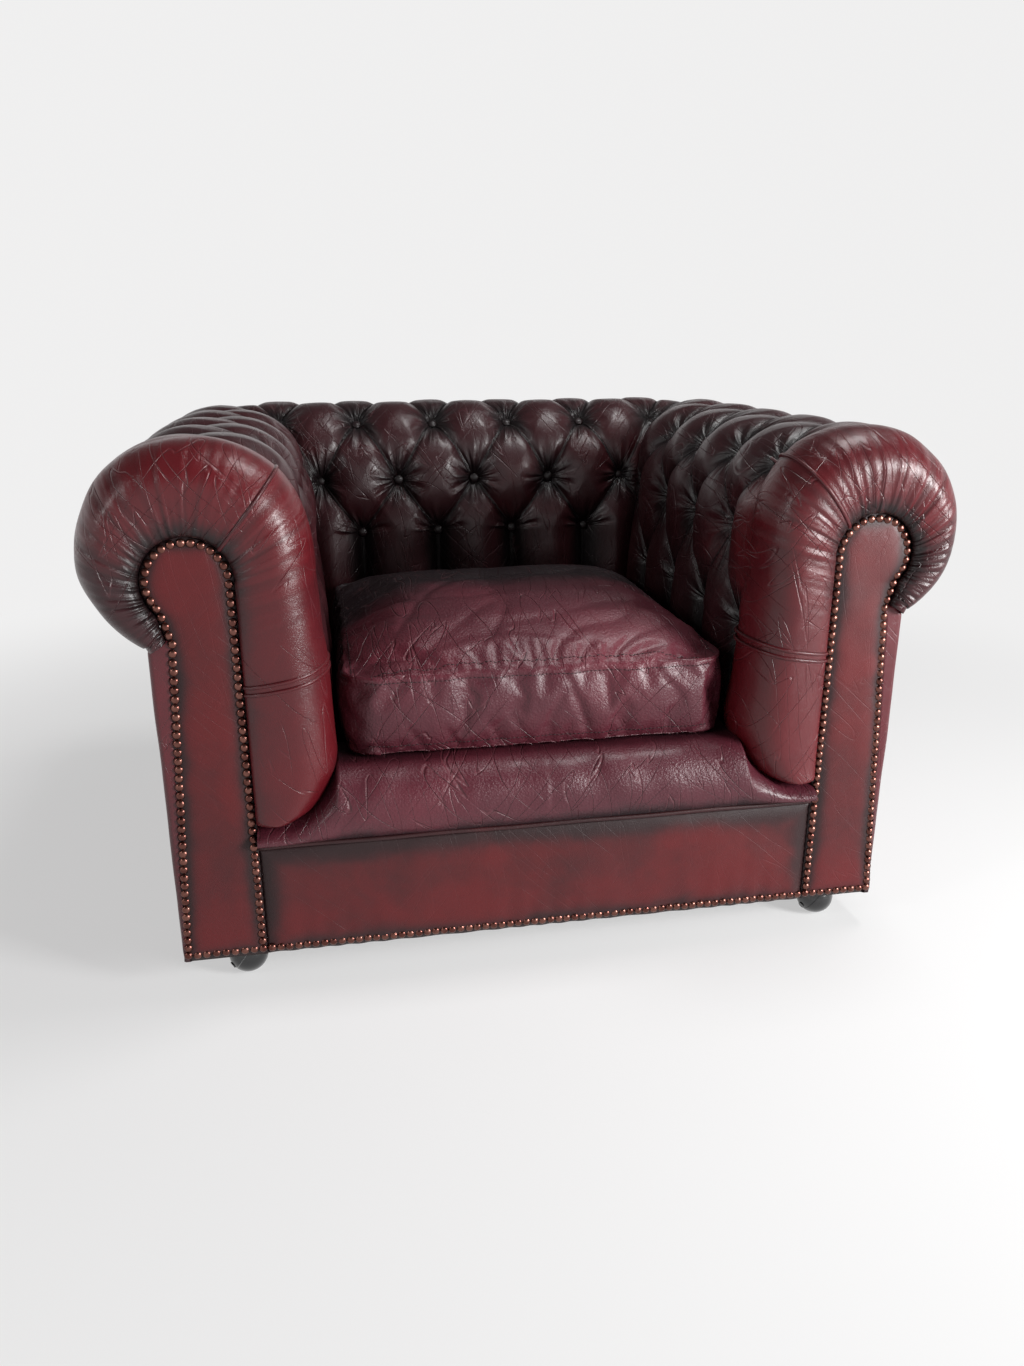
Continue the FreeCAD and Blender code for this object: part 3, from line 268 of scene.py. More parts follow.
low_run = math.pi / 4 * (tuck[0] - belly[0] + belly[1] - tuck[1])
face_run = math.dist(belly, chin)
turn_run = (math.pi + roll_end_turn) * roll_radius
roll_end = (
    roll_out + roll_radius * math.cos(roll_end_turn),
    roll_up - roll_radius * math.sin(roll_end_turn),
)
whole_run = low_run + face_run + turn_run + math.dist(roll_end, skin_end)
crest_run = low_run + face_run + math.pi / 2 * roll_radius
side_run = low_run + face_run + math.pi * roll_radius


def eased(share):
    share = min(1.0, max(0.0, share))
    return share * share * (3 - 2 * share)


def between(first, second, share):
    return first + (second - first) * share


def along(value, table):
    """Reads a value from a short table of places, with straight runs between them."""
    for (low, first), (high, second) in zip(table, table[1:]):
        if value <= high:
            return between(first, second, max(0.0, (value - low) / (high - low)))
    return table[-1][1]


def section(run):
    """Button-depth section of arm and back: out from the button line, height, and the way out."""
    if run < low_run:
        turn = run / low_run * math.pi / 2
        wide, high = tuck[0] - belly[0], belly[1] - tuck[1]
        out, up = tuck[0] - wide * math.sin(turn), tuck[1] + high * (1 - math.cos(turn))
        way = (-wide * math.cos(turn), high * math.sin(turn))
    elif run < low_run + face_run:
        share = (run - low_run) / face_run
        out, up = between(belly[0], chin[0], share), between(belly[1], chin[1], share)
        way = (chin[0] - belly[0], chin[1] - belly[1])
    elif run < low_run + face_run + turn_run:
        turn = math.pi - (run - low_run - face_run) / roll_radius
        out, up = roll_out + roll_radius * math.cos(turn), roll_up + roll_radius * math.sin(turn)
        way = (math.sin(turn), -math.cos(turn))
    else:
        share = (run - low_run - face_run - turn_run) / math.dist(roll_end, skin_end)
        out, up = between(roll_end[0], skin_end[0], share), between(roll_end[1], skin_end[1], share)
        way = (skin_end[0] - roll_end[0], skin_end[1] - roll_end[1])
    scale = math.hypot(*way)
    return out, up, -way[1] / scale, way[0] / scale


def run_at(height):
    """Run of the section where its inner side reaches a height."""
    if height < chin[1]:
        return low_run + face_run * (height - belly[1]) / (chin[1] - belly[1])
    return low_run + face_run + roll_radius * math.asin((height - roll_up) / roll_radius)


def buttoned(row_heights):
    """Row numbers and crown heights along the section, for one set of button rows."""
    three, two, one = [run_at(height) for height in row_heights]
    rows = [(three, 3.0), (two, 2.0), (one, 1.0), (crest_run + flute_start, 0.0)]
    crowns = [
        (0.0, 0.0),
        (low_run * 0.5, puff * 0.75),
        (low_run, puff),
        (one, puff),
        (crest_run, crest_puff),
        (side_run, flute_puff),
        (low_run + face_run + turn_run, flute_puff * 0.8),
        (whole_run, 0.0),
    ]
    return rows, crowns


def diamond(columns, rows, soft=0.012):
    """Share of the full crown: 0 at every button, low along the pleats, 1 in the middle of a diamond."""
    first = math.pi * (columns + rows / 2)
    second = math.pi * (columns - rows / 2)
    product = math.cos(first) * math.cos(second)
    groove = math.sqrt(soft)
    pleated = (math.sqrt(math.sqrt(product * product + soft * soft)) - groove) / (1 - groove)
    pitted = (1 - abs(math.sin(first) * math.sin(second))) ** 0.5
    return 0.6 * pleated**0.85 + 0.4 * pitted


def nearest_button(columns, rows, pitch):
    """Way in metres from the nearest button, and a number of that button's own."""
    best = None
    for row in (1, 2, 3):
        shift = 0.5 if row == 2 else 0.0
        column = round(columns - shift) + shift
        across, up = (columns - column) * pitch, (row - rows) * row_step
        reach = math.hypot(across, up)
        if best is None or reach < best[0]:
            best = (reach, across, up, row * 7.3 + column * 3.1)
    return best


def uneven(point, size, seed):
    """Soft unevenness between about -1 and 1, with no direction of its own."""
    return noise.noise(point / size + Vector((seed, seed * 0.37, -seed * 0.71))) * 1.7


def scroll(run):
    """Edge of the scroll that faces a place on the section, where the leather is nailed."""
    if run < low_run + face_run:
        height = section(run)[1]
        share = (height - tuck[1]) / (chin[1] - tuck[1])
        return facing_in, between(tuck[1], arch_up, share)
    turn = math.pi - (run - low_run - face_run) / roll_radius
    end_turn = math.pi - arch_turn
    if turn > end_turn:
        return arch_out + arch_radius * math.cos(turn), arch_up + arch_radius * math.sin(turn)
    start = low_run + face_run + arch_turn * roll_radius
    share = (run - start) / (whole_run - start)
    last = (arch_out + arch_radius * math.cos(end_turn), arch_up + arch_radius * math.sin(end_turn))
    return between(last[0], neck[0], share), between(last[1], neck[1], share)


def drawn_in(out, past, run):
    """Rounds the outside of the roll at the rear corner; past is measured from the roll's middle."""
    if past <= 0 or out <= roll_out:
        return out
    keep = math.sqrt(1 - (min(past, roll_radius * math.sqrt(0.5)) / roll_radius) ** 2)
    held = eased((run - side_run) / (low_run + face_run + turn_run - side_run))
    return roll_out + (out - roll_out) * (keep + (1 - keep) * held)


def corner_level(run):
    """Crown of both covers where they meet in the rear corner's crease."""
    return along(run, [(0.0, 0.0), (low_run, puff * 0.2), (crest_run, crest_puff * 0.25), (whole_run, 0.0)])


def cover_point(side, pitch, columns, run, short_of_corner, nose):
    """A place on a buttoned cover: out, height, fullness 0 to 1 dimmed as painted shade in the corner crease
    and round the buttons, and what its finish needs of the folds.
    """
    rows, crowns = side
    out, up, way_out, way_up = section(run)
    row = along(run, rows)
    full = between(diamond(columns, row), 0.97, nose)
    reach, across, above, phase = nearest_button(columns, row, pitch)
    turn = math.atan2(above, across)
    held = (1 - nose) * eased((run + 0.02) / 0.05)
    gathered = eased((reach - 0.005) / 0.010) * (1 - eased((reach - 0.018) / 0.040)) * held
    gathers = gather_depth * gathered * (math.cos(9 * turn + phase) + 0.6 * math.cos(15 * turn + 2 * phase))
    pit = pit_depth * math.exp(-((reach / pit_reach) ** 2)) * (1 - nose)
    crown = along(run, crowns)
    rise = crown * full + gathers - pit
    near = 1 - eased((short_of_corner - 0.004) / corner_reach)
    crease = math.exp(-max(0.0, short_of_corner) / 0.011)
    rise = between(rise, crown * 0.55, near * 0.8)
    rise = between(rise, corner_level(run), crease)
    folds = (
        Vector((columns + row / 2, columns - row / 2, (1 - nose) * (1 - crease))),
        Vector((across, above, (1 - eased((reach - 0.012) / 0.045)) * held * (1 - crease))),
    )
    # Painted shade: fullness, which also sets the colour, is dimmed in the corner crease and round each
    # button.
    pit_shade = math.exp(-((reach / 0.016) ** 2)) * (1 - nose)
    return out + way_out * rise, up + way_up * rise, full * (1 - crease) * (1 - 0.8 * pit_shade), folds


arm_side = buttoned(arm_rows)
nose_steps = 42
arm_steps = 186
run_steps = 276


def arm_point(side_sign, share_along, share_round):
    """Point of an arm's leather, its rub and painted shade, glow and folds, for shares of its length and its
    section.
    """
    run = whole_run * share_round
    step = share_along * (nose_steps + arm_steps)
    nose = max(0.0, 1 - step / nose_steps)
    plain_out, _, way_out, _ = section(run)
    if nose > 0:
        behind = nose_round
    else:
        last = back_line + plain_out + way_out * corner_level(run)
        behind = between(front + nose_round, last, (step - nose_steps) / arm_steps) - front
    deep = front + behind
    columns = (deep - arm_first) / arm_pitch
    away = eased((arm_first - front - behind) / (arm_first - front - nose_round))
    out, up, full, folds = cover_point(
        arm_side, arm_pitch, columns, run, back_line + plain_out - deep, away
    )
    out = drawn_in(out, deep - back_line - roll_out, run)
    # Fullness sets the colour too: lighter on the crowns, where the leather is rubbed, and darker in the
    # hollows, partly its own antiquing and partly painted shade.
    rub_and_shade = full
    round_arch = Vector((out - arch_out, up - arch_up, 0))
    if nose > 0:
        turn = math.pi * (1 - nose)
        reach = 0.5 * (1 - math.cos(turn))
        wood_out, wood_up = scroll(run)
        span = math.hypot(out - wood_out, up - wood_up)
        lift = nose_bulge * min(1.0, span / 0.05)
        if turn < math.pi / 2:
            deep = front - lift * math.sin(turn)
        else:
            deep = front + nose_round - (nose_round + lift) * math.sin(turn)
        spread = eased((run - low_run - face_run * 0.4) / face_run)
        wave = math.sin(run * 310 + 2.5 * math.sin(run * 61 + side_sign))
        wave += 0.7 * math.sin(run * 497 + side_sign)
        held = math.sin(turn) ** 0.7 * math.exp(-reach / 0.30) * spread
        out = between(wood_out, out, reach)
        up = between(wood_up, up, reach)
        deep -= 0.0016 * wave * held
        # Painted shade: darker towards the nails and in stripes that follow the gathers.
        rub_and_shade_at_nails = between(0.62, 0.25, spread)
        rub_and_shade = rub_and_shade_at_nails + (1 - rub_and_shade_at_nails) * eased(reach * 2.1) - 0.10 * wave * held
    if away > 0.5:
        on_top = eased((run - low_run - face_run * 0.5) / (face_run * 0.8))
        round_arch.z = on_top * (1 - eased((behind - 0.02) / 0.07)) * (0.35 + 0.65 * nose)
        folds = (folds[0], round_arch)
    point = Vector((side_sign * (seat_half + out), deep, up))
    glow = (1 - eased((behind - 0.07) / 0.09)) * (1 - 0.7 * eased((run - side_run + 0.06) / 0.10))
    return point, rub_and_shade, glow, *folds


def swell(point, seed, depth):
    """Slow unevenness of a stuffed cover."""
    return depth * (uneven(point, 0.10, seed) + 0.45 * uneven(point, 0.045, seed + 5))


# Pale colour laid along the crease lines as a painted highlight.
crease_highlight_pale = (0.150, 0.052, 0.060, 1)
leather_depth = 0.0011


def leather_finish(
    name, dark, body, red, seed, crease=1.0, pebble=0.0, gloss=0.33, shine=0.42, cloud_size=5.0, folded=False
):
    """Antiqued leather: hand-rubbed on the crowns, darker in the hollows from its antiquing and from painted
    shade, with long crease lines painted pale as highlight, and grain.
    """
    finish = Finish(name)
    place = finish.place()
    shifted = finish.node("ShaderNodeMapping", None, {"Vector": place, "Location": (seed, seed * 0.3, 0)})
    rub_and_shade = finish.node("ShaderNodeAttribute", {"attribute_name": "rub_and_shade"}, None, "Fac")
    glow = finish.node("ShaderNodeAttribute", {"attribute_name": "glow"}, None, "Fac")
    blotch = finish.cloud(shifted, cloud_size, 3.0, 0.4)
    mottle = finish.cloud(shifted, 38.0, 4.0, 0.6)
    # Rub and painted shade from the attribute, with random blotches in the leather's own tone.
    wear_and_shade = rub_and_shade + (blotch - 0.5) * 0.7 + (mottle - 0.5) * 0.3
    lit = finish.mix(wear_and_shade.ramp(0.10, 0.85), dark, body)
    warm = (glow * 0.9 + (blotch - 0.5) * 1.8 + (mottle - 0.5) * 0.4).ramp(0.05, 1.25)
    colour = finish.mix(warm * wear_and_shade.ramp(0.15, 0.75), lit, red)

    def crease_lines(turn, spacing, patch_size, width):
        """Long thin lines in patches, 1 on a line."""
        across_lines = {"Vector": shifted, "Scale": (1, 1, 1 / 9), "Rotation": turn}
        laid = finish.node("ShaderNodeMapping", {"vector_type": "TEXTURE"}, across_lines)
        web = finish.cloud(laid, spacing, 0.5, 0.12)
        patches = finish.cloud(finish.turned(shifted, (1, 1, 1), turn), patch_size)
        return (1 - (abs(web - 0.5)).ramp(0.0, width)) * patches.ramp(0.42, 0.56)

    slanting_creases = crease_lines((0.2, 0.75, 0.1), 5.0, 6.0, 0.013)
    crossing_creases = crease_lines((-0.3, -0.85, 0.3), 6.0, 7.0, 0.013)
    upright = crease_lines((0.4, 1.35, 0.5), 7.0, 8.0, 0.015)
    grain = finish.node(
        "ShaderNodeTexVoronoi", {"feature": "DISTANCE_TO_EDGE"}, {"Vector": shifted, "Scale": 520.0}
    )
    pebbles = finish.node("ShaderNodeTexVoronoi", None, {"Vector": shifted, "Scale": 330.0})
    height = (
        (slanting_creases * -1.0 + crossing_creases * -0.9 + upright * -0.7) * crease
        + grain.ramp(0.0, 0.25) * 0.08
        + pebbles * (-0.5 * pebble)
        + mottle * 0.3
    )
    # Painted highlight: the crease lines are laid on in a pale colour.
    colour_with_painted_light = finish.mix((slanting_creases + crossing_creases + upright) * (0.22 * crease), colour, crease_highlight_pale)
    if folded:
        parts = []
        for name in ("pleat", "pull"):
            folds = finish.node("ShaderNodeAttribute", {"attribute_name": name}, None, "Vector")
            parts += [finish.node("ShaderNodeSeparateXYZ", None, {0: folds}, axis) for axis in "XYZ"]
        first, second, tufted, across, above, hold = parts
        seam = 0.0
        overlap = 0.0
        for side in (first, second):
            past = side.maths("FRACT") - 0.5
            seam = seam + (1 - abs(past).ramp(0.004, 0.020))
            overlap = overlap + past.ramp(-0.13, 0.0) * (1 - past.ramp(0.0, 0.016))
        turn = above.maths("ARCTAN2", across)
        reach = (above * above + across * across) ** 0.5
        fan = finish.node(
            "ShaderNodeCombineXYZ", None, {0: turn * (9.0 - tufted * 5.4), 1: reach * 20.0, 2: tufted * 3.0}
        )
        streak = finish.cloud(fan, 1.0, 1.0)
        height = height + (streak - 0.5) * hold * 9.0 + overlap * tufted * 1.1 - seam * tufted * 1.6
        # Painted shade: dark along the pleat seams and in streaks round each button's gathers.
        colour_with_painted_light = finish.mix((seam * tufted).ramp(0.0, 1.0) * 0.85, colour_with_painted_light, dark)
        colour_with_painted_light = finish.mix((1 - streak.ramp(0.34, 0.50)) * hold * 0.75, colour_with_painted_light, dark)
    finish.coat(
        Base_Color=colour_with_painted_light,
        Roughness=gloss + (mottle - 0.5) * 0.20 + (1 - rub_and_shade) * 0.08,
        Normal=finish.bump(height, leather_depth),
        Coat_Weight=0.10,
        Coat_Roughness=0.20,
    )
    finish.shader.inputs["Specular IOR Level"].default_value = shine
    return finish.material


def finished(name, shape, material, slot, *nodes, body="chair", flip=False):
    """Turns a shape into a smooth, named piece that rides on a body and stands for CAD nodes."""
    if flip:
        bmesh.ops.reverse_faces(shape, faces=shape.faces)
    for face in shape.faces:
        face.smooth = True
    mesh = bpy.data.meshes.new(name)
    shape.to_mesh(mesh)
    shape.free()
    mesh.materials.append(material)
    piece = bpy.data.objects.new(name, mesh)
    scene.collection.objects.link(piece)
    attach(piece, body)
    if nodes:
        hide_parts(*nodes)
    return piece


def sheet_of(columns, rows, place):
    """A grid put by place(u, v), which gives a point, its rub and painted shade, its glow, and where needed
    its folds.
    """
    shape = bmesh.new()
    bmesh.ops.create_grid(shape, x_segments=columns, y_segments=rows, size=0.5)
    layers = [shape.verts.layers.float.new(name) for name in ("rub_and_shade", "glow")]
    layers += [shape.verts.layers.float_vector.new(name) for name in ("pleat", "pull")]
    for vert in shape.verts:
        vert.co, *marks = place(vert.co.x + 0.5, vert.co.y + 0.5)
        for layer, mark in zip(layers, marks):
            vert[layer] = mark
    return shape


def marked(shape, rub_and_shade, glow):
    """Gives a small piece one even value of rub and shade, and of glow."""
    layers = [shape.verts.layers.float.new(name) for name in ("rub_and_shade", "glow")]
    for vert in shape.verts:
        vert[layers[0]] = rub_and_shade
        vert[layers[1]] = glow
    return shape


plum_black = (0.0050, 0.0016, 0.0022, 1)
plum = (0.034, 0.0072, 0.0095, 1)
oxblood = (0.100, 0.0050, 0.0085, 1)
tufted_leather = leather_finish("tufted_leather", plum_black, plum, oxblood, 3.1, crease=0.7, folded=True)

for side_name, side_sign in sides:

    def arm_place(u, v):
        point, rub_and_shade, glow, *folds = arm_point(side_sign, u, v)
        held = eased(u * 8) * eased((1 - u) * 12)
        point += Vector((side_sign, -0.3, 0.4)) * swell(point, side_sign * 4, unevenness) * held
        return point, rub_and_shade, glow, *folds

    arm = sheet_of(nose_steps + arm_steps, run_steps, arm_place)
    arm_piece = finished(
        f"arm_cover_{side_name}", arm, tufted_leather, "tufted_leather",
        f"arm_pad_{side_name}", f"arm_front_{side_name}", flip=side_sign > 0,
    )

# Buttoned back: the same leather between the two rear corners, where it meets the arms in a deep crease.
# Its buttons are half a pitch apart from row to row, and its flutes run over the roll to the outside.
back_rows = (0.465, 0.550, 0.638)
back_pitch = 0.128
back_side = buttoned(back_rows)
back_steps = 264


def back_place(u, v):
    run = whole_run * v
    plain_out, _, way_out, _ = section(run)
    last = seat_half + plain_out + way_out * corner_level(run)
    across = between(-last, last, u)
    columns = across / back_pitch + 0.5
    beside = abs(across) - seat_half
    out, up, full, folds = cover_point(back_side, back_pitch, columns, run, plain_out - beside, 0.0)
    out = drawn_in(out, beside - roll_out, run)
    point = Vector((across, back_line + out, up))
    held = eased(u * 12) * eased((1 - u) * 12)
    point += Vector((0, 0.8, 0.4)) * swell(point, 9, unevenness) * held
    # Fullness gives the rub and the painted shade of the hollows, as on the arms.
    return point, full, 0.10, *folds


back = sheet_of(back_steps, run_steps, back_place)
back_piece = finished("back_cover", back, tufted_leather, "tufted_leather", "back_pad", flip=True)

# Covered buttons: a leather-covered metal shell, tied through the padding so that it sits in its pit.
# The back's middle row has one more at each end, set a little deeper in the corners.
button_radius = 0.0085
button_dome = 0.0045
button_sit = -0.001
corner_button_back = 0.004
button_leather = leather_finish(
    "button_leather", plum_black, (0.035, 0.009, 0.012, 1), (0.07, 0.008, 0.012, 1), 1.7, crease=0.3
)


def add_dome(shape, place, way, radius, height, rings=5, around=14):
    """A low dome with its rim at place, standing along way."""
    made = bmesh.ops.create_uvsphere(shape, u_segments=around, v_segments=rings * 2, radius=1.0)
    turn = Vector(way).to_track_quat("Z", "Y").to_matrix().to_4x4()
    size = Matrix.Diagonal((radius, radius, height, 1))
    bmesh.ops.transform(
        shape, matrix=Matrix.Translation(place) @ turn @ size, verts=made["verts"]
    )
    low = [v for v in made["verts"] if (v.co - Vector(place)).dot(Vector(way)) < -height * 0.2]
    bmesh.ops.delete(shape, geom=low, context="VERTS")


def button_seat(side, row):
    """Out, height and way out of the buttons of one row."""
    run = [start for start, number in side[0] if number == row][0]
    out, up, way_out, way_up = section(run)
    return out + way_out * button_sit, up + way_up * button_sit, way_out, way_up


for side_name, side_sign in sides:
    buttons = bmesh.new()
    for row, columns in ((1.0, (0, 1, 2, 3)), (2.0, (0.5, 1.5, 2.5)), (3.0, (0, 1, 2, 3))):
        out, up, way_out, way_up = button_seat(arm_side, row)
        for column in columns:
            place = Vector((side_sign * (seat_half + out), arm_first + column * arm_pitch, up))
            add_dome(buttons, place, (side_sign * way_out, 0, way_up), button_radius, button_dome)
    finished(
        f"arm_button_set_{side_name}", marked(buttons, 0.2, 0.0), button_leather, "button_leather",
        f"arm_buttons_{side_name}",
    )
buttons = bmesh.new()
for row, columns in ((1.0, (-1, 0, 1, 2)), (2.0, (-1.5, -0.5, 0.5, 1.5, 2.5)), (3.0, (-1, 0, 1, 2))):
    out, up, way_out, way_up = button_seat(back_side, row)
    for column in columns:
        place = Vector(((column - 0.5) * back_pitch, back_line + out, up))
        if row == 2.0 and abs(column - 0.5) > 1.9:
            place.y += corner_button_back
        add_dome(buttons, place, (0, way_out, way_up), button_radius, button_dome)
finished("back_button_set", marked(buttons, 0.2, 0.0), button_leather, "button_leather", "back_buttons")

# Welted seams on each arm's front: one from the first top button down to the nails of the arch,
# one level round the inside of the arm at the lowest row.
welt_radius = 0.0024
seam_half = 0.005
seam_leather = leather_finish("seam_leather", plum_black, plum, oxblood, 5.3, crease=0.2)
for side_name, side_sign in sides:
    welts = bmesh.new()
    level_seam = [(arm_rows[0] + seam_half, 16), (arm_rows[0] - seam_half, 16)]
    for height, last_step in [(arm_rows[2], 24)] + level_seam:
        share_round = run_at(height) / whole_run
        spline_data = bpy.data.curves.new("welt", "CURVE")
        spline_data.dimensions = "3D"
        spline_data.bevel_depth = welt_radius
        spline_data.bevel_resolution = 2
        spline_data.use_fill_caps = True
        spline = spline_data.splines.new("POLY")
        steps = range(3, nose_steps + last_step, 2)
        spline.points.add(len(steps) - 1)
        for point, step in zip(spline.points, steps):
            share_along = step / (nose_steps + arm_steps)
            point.co = (*arm_point(side_sign, share_along, share_round)[0], 1)
        strand = bpy.data.objects.new("welt", spline_data)
        mesh = bpy.data.meshes.new_from_object(strand)
        welts.from_mesh(mesh)
        bpy.data.objects.remove(strand)
        bpy.data.meshes.remove(mesh)
    finished(f"arm_welts_{side_name}", marked(welts, 0.75, 0.85), seam_leather, "tufted_leather")

# Facings: card covered in leather over thin padding, nailed to the scroll boards. Red in the
# middle and darker towards the nails.
facing_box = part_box("facing_right")
skirt = facing_box[0][2]
facing_outer = facing_box[1][0]
facing_puff = 0.0055
arch_gap = 0.0005
facing_leather = leather_finish(
    "facing_leather", (0.016, 0.0045, 0.0052, 1), (0.040, 0.0080, 0.0095, 1), (0.105, 0.0068, 0.0085, 1), 7.7,
    crease=0.15, gloss=0.46, shine=0.32, cloud_size=9.0,
)


def turned_in(shape, depth):
    """Turns the edge of a sheet of leather inwards, under what covers it."""
    rim = [edge for edge in shape.edges if edge.is_boundary]
    made = bmesh.ops.extrude_edge_only(shape, edges=rim)
    verts = [part for part in made["geom"] if isinstance(part, bmesh.types.BMVert)]
    bmesh.ops.translate(shape, vec=depth, verts=verts)
    return shape


def filled(near, reach, power=2.4):
    """Share of a thin padding's full height at a distance from its edge."""
    return 1 - (1 - min(1.0, near / reach)) ** power


def facing_edges(height):
    """Inner and outer edge of the scroll at a height."""
    inner = seat_half + facing_in
    middle, radius = seat_half + arch_out, arch_radius - arch_gap
    arch_end = arch_up + radius * math.sin(math.pi - arch_turn)
    if height >= arch_end:
        half = math.sqrt(max(0.0, radius**2 - (height - arch_up) ** 2))
        return (inner if height < arch_up else middle - half), middle + half
    arch_end_out = middle + radius * math.cos(math.pi - arch_turn)
    neck_out = seat_half + neck[0] - arch_gap
    if height >= neck[1]:
        return inner, between(neck_out, arch_end_out, (height - neck[1]) / (arch_end - neck[1]))
    return inner, between(facing_outer, neck_out, (height - skirt) / (neck[1] - skirt))


for side_name, side_sign in sides:

    def facing_place(u, v):
        top = arch_up + arch_radius - arch_gap
        height = skirt + (top - skirt) * math.sin(v * math.pi / 2) ** 0.9
        height = min(height, top - 0.00002)
        inner, outer = facing_edges(height)
        side = 0.5 - 0.5 * math.cos(math.pi * u)
        x = between(inner, outer, side)
        nearest = min(x - inner, outer - x, height - skirt, top - height)
        edge = filled(nearest, 0.034, 2.6)
        point = Vector((side_sign * x, front, height))
        waves = 0.0006 * math.sin(height * 130 + side_sign) * (1 - edge)
        point.y = front + 0.002 - facing_puff * edge + waves + swell(point, 21, 0.0006)
        rub_and_shade = eased(nearest / 0.030)
        return point, rub_and_shade, 0.25 + 0.75 * rub_and_shade

    facing = turned_in(sheet_of(40, 220, facing_place), (0, 0.007, 0))
    finished(
        f"facing_cover_{side_name}", facing, facing_leather, "facing_leather",
        f"facing_{side_name}", flip=side_sign < 0,
    )

# Outside panels: leather over thin board, closing the sides and the back below the roll. Each side
# panel turns round the front corner to the facing's nails.
panel_leather = leather_finish(
    "panel_leather", plum_black, (0.060, 0.012, 0.016, 1), (0.120, 0.011, 0.017, 1), 12.3, crease=0.5
)
panel_corner = 0.007
panel_rise = 0.017
panel_tuck = 0.012
panel_edge = 0.03
panel_swell = 0.0009


def outside_place(side_sign):
    """Leather of an arm's outside panel, wrapped round its front corner to the facing's nails."""
    low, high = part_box("arm_outside_right")
    outer = high[0] - 0.0008

    def place(u, v):
        height = between(low[2], high[2] + panel_rise, v)
        tucked = panel_tuck * eased((height - high[2] - 0.002) / (panel_rise - 0.002))
        inner = facing_edges(height)[1] + 0.0004
        wrapped = (u - 0.80) / 0.20
        if wrapped <= 0:
            x, y = outer, between(high[1], front + panel_corner, u / 0.80)
        elif wrapped < 0.5:
            turn = wrapped * math.pi
            x = outer - panel_corner * (1 - math.cos(turn))
            y = front + panel_corner * (1 - math.sin(turn))
        else:
            x = between(outer - panel_corner, inner, wrapped * 2 - 1)
            y = front
        near = min(high[1] - y, height - low[2], max(y - front, 0.012))
        edge = filled(near, panel_edge)
        x -= tucked + 0.002 * (1 - edge)
        point = Vector((side_sign * x, y, height))
        point.x += side_sign * swell(point, 31, panel_swell) * edge
        return point, 0.45 + 0.55 * eased((height - low[2]) / 0.05), 0.25 + 0.5 * eased((u - 0.7) / 0.2)

    return place


for side_name, side_sign in sides:
    panel = turned_in(sheet_of(150, 90, outside_place(side_sign)), (-side_sign * 0.005, 0.004, 0))
    finished(
        f"outside_panel_{side_name}", panel, panel_leather, "panel_leather",
        f"arm_outside_{side_name}", flip=side_sign > 0,
    )

back_low, back_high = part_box("back_outside")


def back_panel_place(u, v):
    x = between(back_low[0], back_high[0], u)
    z = between(back_low[2], back_high[2] + 0.004, v)
    near = min(x - back_low[0], back_high[0] - x, z - back_low[2], 0.1)
    edge = filled(near, panel_edge)
    point = Vector((x, back_high[1] - 0.003 * (1 - edge), z))
    point.y += swell(point, 31, panel_swell) * edge
    return point, 0.4 + 0.6 * eased(near / 0.05), 0.35 * eased(near / 0.09)


panel = turned_in(sheet_of(160, 80, back_panel_place), (0, -0.006, 0))
finished("back_panel", panel, panel_leather, "panel_leather", "back_outside", flip=True)

# Front border: leather over card on the front rail, with a piping above it and nails along its foot.
border_low, border_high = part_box("front_border")


def border_place(u, v):
    x = between(border_low[0], border_high[0], u)
    z = between(border_low[2], border_high[2], v)
    near = min(x - border_low[0], border_high[0] - x, z - border_low[2], border_high[2] - z)
    edge = filled(near, 0.028)
    point = Vector((x, 0, z))
    ripple = 0.0009 * math.sin(x * 170 + 3 * math.sin(x * 23)) * math.exp(-(z - border_low[2]) / 0.03)
    point.y = border_low[1] + 0.003 - 0.0055 * edge + ripple + swell(point, 41, 0.0012) * edge
    # Darker and less red within 40 mm of each edge; along the top this is a painted shadow under the piping.
    rub_and_shade = eased(near / 0.04)
    return point, 0.2 + 0.8 * rub_and_shade, 0.15 + 0.85 * rub_and_shade


border = turned_in(sheet_of(240, 56, border_place), (0, 0.006, 0))
finished("border_cover", border, facing_leather, "facing_leather", "front_border")

piping_low, piping_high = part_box("border_piping")
piping_middle = (Vector(piping_low) + Vector(piping_high)) / 2
piping_radius = 0.003
piping = bmesh.new()
bmesh.ops.create_cone(
    piping, cap_ends=True, segments=12, radius1=piping_radius, radius2=piping_radius,
    depth=piping_high[0] - piping_low[0], matrix=Matrix.Rotation(math.pi / 2, 4, "Y"),
)
lengthwise = [e for e in piping.edges if abs((e.verts[0].co - e.verts[1].co).x) > 0.1]
bmesh.ops.subdivide_edges(piping, edges=lengthwise, cuts=90)
for vert in piping.verts:
    wobble = 0.0005 * math.sin(vert.co.x * 37)
    vert.co += Vector((0, piping_middle.y, piping_middle.z + wobble))
finished(
    "piping_cover", marked(piping, 0.55, 0.1), facing_leather, "facing_leather", "border_piping"
)

# Seat lip: a soft roll of foam and leather in front of the cushion, sewn to the piping below it and
# pressed down at both ends by the arms. Sitting has drawn it into slanting wrinkles.
lip_low, lip_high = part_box("seat_lip")
lip_top = 0.283
lip_nose = 0.018
lip_round = 0.048
lip_turned = 0.55
seat_leather = leather_finish(
    "seat_leather", (0.009, 0.0025, 0.0045, 1), (0.070, 0.0110, 0.0190, 1), (0.125, 0.0155, 0.0270, 1), 15.1,
    crease=1.2, pebble=0.8, gloss=0.42,
)


